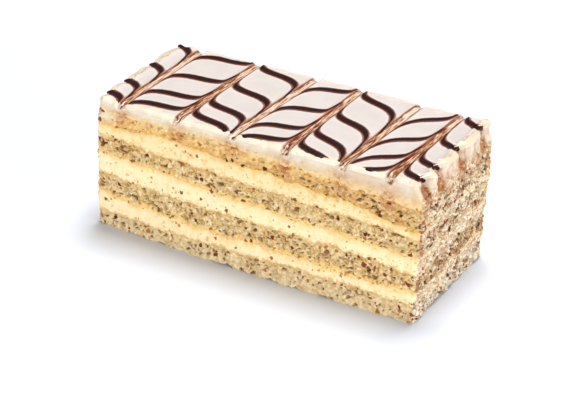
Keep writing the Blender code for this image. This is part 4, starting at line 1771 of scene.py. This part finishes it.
@dataclass(frozen=True)
class ChocolateLines:
    """The piped chocolate: a flattened profile carried along every stretch between two strokes.

    Drops lie where the lines run off the ends.
    """

    form: SliceForm
    fondant: FondantTop
    sections: int = 44
    profile: int = 14
    crown: float = 0.2
    keel: float = 0.4
    least_half_width: float = 0.24
    drop_radii: tuple[float, float, float] = (0.6, 0.75, 0.5)
    nib_radii: tuple[float, float, float] = (0.6, 0.9, 0.4)
    dent_share: float = 0.6
    rim_margin: float = 0.2
    cut_margin: float = 0.1
    end_margin: float = 0.3
    blunt_run: float = 0.5
    fine_run: float = 3.5

    def path(self, line: int, left: float, right: float) -> tuple[Array, tuple[bool, bool]]:
        """Centre line of one stretch, as far as it lies on the top.

        From each end the distance to the stroke grows with the square of the step, so that points
        gather where the drag is steep. The place along the width is the line's own plus the drag.
        Of the runs that lie on the top, the longest is kept.

        Args:
            line: Number of the line.
            left, right: Straightened x of the two ends.

        Returns:
            Points along the stretch, as x and y, and whether the rim cuts off its start and its end.
        """
        half = (right - left) / 2
        steps = np.linspace(0.0, 1.0, self.sections) ** 2 * half
        straight = np.concatenate([left + steps, (right - steps)[::-1][1:]])
        y = self.form.lines(straight)[:, line]
        x = self.form.leaned(straight, y)
        on_top = self.form.rim_gap(x, y) > self.rim_margin
        runs = np.split(np.arange(len(x)), np.flatnonzero(np.diff(on_top)) + 1)
        run = max((run for run in runs if on_top[run[0]]), key=lambda run: x[run[-1]] - x[run[0]])
        return np.stack([x, y], axis=-1)[run], (run[0] > 0, run[-1] < len(x) - 1)

    def ribbon(self, path: Array, blunt: tuple[bool, bool]) -> Skin:
        """Carries the profile along a path.

        The profile is a rounded oblong across the path: cos for its width, and the root of sin times
        the crown above and the keel below for its height. The half width is the line's own times the
        cosine of the path's slope, because the drag shears the line, but never less than the tail's.

        Args:
            path: Points of the centre line.
            blunt: Whether each end stays full instead of running out.

        Returns:
            The closed ribbon.
        """
        tangent = np.gradient(path, axis=0)
        tangent /= np.linalg.norm(tangent, axis=1, keepdims=True)
        half = np.maximum(self.form.line_half_width * np.abs(tangent[:, 0]), self.least_half_width)
        travelled = np.concatenate([[0.0], np.cumsum(np.linalg.norm(np.diff(path, axis=0), axis=1))])
        for end, full in zip((travelled, travelled[-1] - travelled), blunt):
            half *= np.sqrt(np.clip(end / (self.blunt_run if full else self.fine_run), 0.0, 1.0))
        turn = np.arange(self.profile) * 2.0 * math.pi / self.profile
        side = np.sign(np.cos(turn)) * np.abs(np.cos(turn)) ** 0.8 * half[:, None]
        x = path[:, :1] - tangent[:, 1:] * side
        limit = self.form.width / 2 + self.form.bow(x, self.form.height) - self.cut_margin
        y = np.clip(path[:, 1:] + tangent[:, :1] * side, -limit, limit)
        lift = np.where(np.sin(turn) > 0, self.crown, -self.keel) * np.abs(np.sin(turn)) ** 0.6
        rim_drop = 1.0 - np.sqrt(1.0 - np.clip(1.0 - self.form.rim_gap(x, y), 0.0, 0.9) ** 2)
        z = self.fondant.surface(x, y) - rim_drop + lift * np.minimum(1.0, half[:, None] / 0.7)
        fan = np.arange(1, self.profile - 1)
        start = np.stack([np.zeros_like(fan), fan + 1, fan], axis=-1)
        end = np.stack([np.zeros_like(fan), fan, fan + 1], axis=-1) + (len(path) - 1) * self.profile
        rim = np.broadcast_to(np.abs(np.cos(turn)), x.shape)
        points = self.fondant.dent(np.stack([x, y, z], axis=-1), self.dent_share).reshape(-1, 3)
        return Skin(
            points, tube_quads(len(path), self.profile), np.concatenate([start, end]), {"rim": rim}
        )

    def stretches(self) -> Iterable[Skin]:
        """Makes every line's stretches between neighbouring strokes and out to the two ends.

        Returns:
            The ribbons in turn.
        """
        strokes = self.form.stroke_places()
        reach = self.form.length / 2 - self.end_margin
        lefts = [-reach, *(strokes + self.form.track_half_width)]
        rights = [*(strokes - self.form.track_half_width), reach]
        for line in range(len(self.form.line_distances)):
            for number, (left, right) in enumerate(zip(lefts, rights)):
                path, cut = self.path(line, left, right)
                yield self.ribbon(path, (number == 0 or cut[0], number == len(strokes) or cut[1]))

    def drops(self) -> Iterable[Skin]:
        """Makes the drops at the right end and the dull nibs at the left, one for each line.

        Returns:
            The drops in turn, without those that would lie past the rim.
        """
        for end, radii in ((1.0, self.drop_radii), (-1.0, self.nib_radii)):
            x = end * (self.form.length / 2 - self.end_margin)
            for y in self.form.lines(np.array(x)):
                if self.form.rim_gap(np.array(x), y) < 0.6:
                    continue
                drop = ball(9, 16)
                spot = np.array([x, y, self.fondant.surface(np.array(x), y) - 0.4])
                points = drop.points * np.array(radii) + self.fondant.dent(spot, self.dent_share)
                rim = np.zeros(len(points))
                yield Skin(keep_inside(points), drop.quads, drop.triangles, {"rim": rim})

    def build(self, material: bpy.types.Material) -> bpy.types.Object:
        """Makes the chocolate piece with that finish."""
        skin = gather([*self.stretches(), *self.drops()])
        return settle(skin.make("chocolate_lines", material), "chocolate")


def gather(skins: Iterable[Skin]) -> Skin:
    """Joins several surfaces into one, numbering their points on from each other.

    Args:
        skins: Surfaces with the same named values.

    Returns:
        The joined surface.
    """
    skins = list(skins)
    starts = np.cumsum([0] + [len(skin.points) for skin in skins])
    points = np.concatenate([skin.points for skin in skins])
    quads = np.concatenate([skin.quads + start for skin, start in zip(skins, starts)])
    triangles = np.concatenate([skin.triangles + start for skin, start in zip(skins, starts)])
    labels = skins[0].values
    values = {label: np.concatenate([skin.values[label].ravel() for skin in skins]) for label in labels}
    return Skin(points, quads, triangles, values)


# --- Nut bits ---


@dataclass(frozen=True)
class NutBits:
    """Bits of one kind, strewn over the cut walls and half sunk in them."""

    name: str
    finish: NutBitFinish
    count: int
    smallest: float
    largest: float
    end_share: float
    seed: int
    end_limit: float = 51.0
    sink: float = 0.32
    low_limit: float = 16.0
    low_share: float = 1.0

    def skin(self, spots: Array) -> Skin:
        """Strews lumps over the spots.

        Each lump is a ball whose points are pulled in or out by a draw, stretched by three radii,
        turned at random, and sunk in by a share of its size.

        Args:
            spots: Points of the walls.

        Returns:
            All lumps as one surface.
        """
        draws = np.random.default_rng(self.seed)
        on_end = np.abs(spots[:, 0]) > self.end_limit
        low = np.where(spots[:, 2] < self.low_limit, self.low_share, 1.0)
        weight = np.where(on_end, self.end_share * low, 1.0)
        chosen = spots[draws.choice(len(spots), self.count, p=weight / weight.sum(), replace=False)]
        form = ball(3, 6)
        size = self.smallest + (self.largest - self.smallest) * draws.random((self.count, 1, 1)) ** 3.0
        radii = 0.5 * size * draws.uniform(0.6, 1.25, (self.count, 1, 3))
        lumps = form.points * draws.uniform(0.75, 1.2, (self.count, len(form.points), 1)) * radii
        turn, _ = np.linalg.qr(draws.normal(size=(self.count, 3, 3)))
        turn *= np.sign(np.linalg.det(turn))[:, None, None]
        inward = np.where(np.abs(chosen[:, :1]) > self.end_limit, [[1.0, 0.0, 0.0]], [[0.0, 1.0, 0.0]])
        inward = inward * -np.sign(chosen * inward)
        points = lumps @ turn + (chosen + inward * size[:, 0] * self.sink)[:, None, :]
        starts = np.arange(self.count)[:, None, None] * len(form.points)
        quads = (form.quads[None] + starts).reshape(-1, 4)
        triangles = (form.triangles[None] + starts).reshape(-1, 3)
        return Skin(keep_inside(points.reshape(-1, 3)), quads, triangles)

    def build(self, spots: Array) -> bpy.types.Object:
        """Makes the piece, strewn on those points of the walls."""
        return settle(self.skin(spots).make(self.name, self.finish.build()), "nut_sponge")


NUT_BITS = (
    NutBits(
        name="kernel_bits", finish=NutBitFinish("nut_kernel", body="F0E0BA", shade="DDC08A"),
        count=560, smallest=0.5, largest=1.5, end_share=5.0, seed=31,
    ),
    NutBits(
        name="skin_bits", finish=NutBitFinish("nut_skin", body="7A360F", shade="9A521E"),
        count=220, smallest=0.35, largest=1.9, end_share=7.0, seed=32,
    ),
    NutBits(
        name="roasted_bits", finish=NutBitFinish("roasted_nut", body="58300F", shade="7A461C"),
        count=90, smallest=0.35, largest=2.1, end_share=7.0, seed=33,
    ),
    NutBits(
        name="husk_bits", finish=NutBitFinish("nut_husk", body="403036", shade="5E4A42"),
        count=46, smallest=1.0, largest=2.8, end_share=5.0, seed=34, low_share=4.0,
    ),
)


# --- Stage ---


@dataclass(frozen=True)
class Viewpoint:
    """The camera, fitted to the corners of the slice."""

    azimuth: float = 28.74
    elevation: float = 28.67
    roll: float = 1.53
    distance: float = 596.0
    slide_right: float = -1.8
    slide_up: float = -10.2
    aim_height: float = 21.35
    sensor: float = 36.0
    focal: float = 129.8

    def build(self) -> None:
        """Places the camera: back from the aim point, slid in its own plane, and rolled."""
        turn, rise, roll = (math.radians(angle) for angle in (self.azimuth, self.elevation, self.roll))
        level = math.cos(rise)
        back = Vector((math.sin(turn) * level, -math.cos(turn) * level, math.sin(rise)))
        right = Vector((math.cos(turn), math.sin(turn), 0.0))
        up = back.cross(right)
        place = Vector((CENTRE_SHIFT[0], 0, self.aim_height)) + back * self.distance
        place += right * self.slide_right + up * self.slide_up
        across = math.cos(roll) * right + math.sin(roll) * up
        upright = math.cos(roll) * up - math.sin(roll) * right
        camera = bpy.data.cameras.new("camera")
        camera.sensor_width = self.sensor
        camera.lens = self.focal
        camera.clip_start = 0.01
        camera.clip_end = 20.0
        holder = bpy.data.objects.new("camera", camera)
        rotation = Matrix((across, upright, back)).transposed().to_4x4()
        holder.matrix_world = Matrix.Translation(place * MM) @ rotation
        bpy.context.scene.collection.objects.link(holder)
        bpy.context.scene.camera = holder


class Lamp(Enum):
    """The soft boxes: place and aim in millimetres, size in millimetres, and power in watts."""

    TOP = ((-10.0, 170.0, 780.0), (0.0, 0.0, 20.0), 340.0, 6.5)
    FRONT = ((-160.0, -740.0, 90.0), (0.0, 0.0, 20.0), 300.0, 3.25)
    RIGHT = ((800.0, -240.0, 170.0), (0.0, 0.0, 20.0), 300.0, 3.8)


@dataclass(frozen=True)
class Studio:
    """A pale floor, an even surround and three soft boxes."""

    surround: float = 0.18
    floor_half: float = 3000.0
    floor_height: float = -0.02
    floor_colour: str = "EDF0F6"
    shaded_colour: str = "EAF0FB"

    def floor(self) -> None:
        """Lays the floor as one square just under the slice, painted bluer near it to cool its shadow.
        """
        corners = np.array([[-1.0, -1.0], [1.0, -1.0], [1.0, 1.0], [-1.0, 1.0]]) * self.floor_half
        points = np.insert(corners, 2, self.floor_height, axis=1)
        f = Finish("painted_paper_floor")
        along = f.span(Axis.X, -130.0, -75.0), f.span(Axis.X, 130.0, 75.0)
        across = f.span(Axis.Y, -110.0, -55.0), f.span(Axis.Y, 110.0, 55.0)
        # Painted light: near the slice the floor is bluer, which cools the warm light that the slice
        # bounces into its shadow.
        colour = f.lay(self.floor_colour, self.shaded_colour, *along, *across)
        material = f.finish(colour, f.add(Node.NOISE, per_mm(1.0)), 0.01, Roughness=0.9)
        piece = Skin(points, np.array([[0, 1, 2, 3]])).make("floor", material)

    def lights(self) -> None:
        """Hangs the soft boxes and sets the surround."""
        for lamp in Lamp:
            place, aim, size, power = lamp.value
            light = bpy.data.lights.new(lamp.name.lower() + "_softbox", "AREA")
            light.shape = "SQUARE"
            light.size = size * MM
            light.energy = power
            holder = bpy.data.objects.new(light.name, light)
            holder.location = Vector(place) * MM
            holder.rotation_euler = (Vector(aim) - Vector(place)).to_track_quat("-Z", "Y").to_euler()
            bpy.context.scene.collection.objects.link(holder)
        world = bpy.data.worlds.new("surround")
        world.use_nodes = True
        background = world.node_tree.nodes["Background"]
        background.inputs["Strength"].default_value = self.surround
        background.inputs["Color"].default_value = (1.0, 1.0, 1.0, 1.0)
        bpy.context.scene.world = world
        bpy.context.scene.view_settings.view_transform = "Standard"
        bpy.context.scene.view_settings.look = "None"


def main() -> None:
    """Builds the stage, the layers, the fondant, the chocolate and the bits, in that order.
    """
    logging.basicConfig(level=logging.INFO, format="%(message)s")
    form = SliceForm()
    Viewpoint().build()
    studio = Studio()
    studio.floor()
    studio.lights()

    sponge = NutSpongeFinish().build()
    cream = ButterCreamFinish().build()
    seams = [SeamLine(form, level) for level in range(-1, 6)]
    sponge_rows, cream_rows = (26, 34, 40), (28, 34, 26)
    toasts = (0.0, 0.8, 0.2)
    walls = []
    for number in range(3):
        floor, middle, ceiling = seams[2 * number : 2 * number + 3]
        layer = Layer(
            f"nut_sponge_{number + 1}", "nut_sponge", form, step=0.21, relief=SPONGE_RELIEF,
            floor=floor, ceiling=middle, rows=sponge_rows[number], shoulder=0.05, toast=toasts[number],
        )
        walls.append(layer.build(sponge).points)
        Layer(
            f"butter_cream_{number + 1}", "butter_cream", form, step=0.26, relief=CREAM_RELIEF,
            floor=middle, ceiling=ceiling, rows=cream_rows[number], shoulder=0.0,
        ).build(cream)
    skirt = Skirt(form)
    top_sponge = TopSponge(
        "nut_sponge_4", "nut_sponge", form, step=0.21, relief=SPONGE_RELIEF, floor=seams[6],
        ceiling=seams[6], rows=44, shoulder=0.05, skirt=skirt,
    )
    walls.append(top_sponge.build(sponge).points)
    fondant = FondantTop(form, skirt)
    fondant.build(FondantFinish().build())
    ChocolateLines(form, fondant).build(ChocolateFinish().build())
    spots = np.concatenate(walls)
    for bits in NUT_BITS:
        bits.build(spots)


if __name__ == "__main__":
    main()
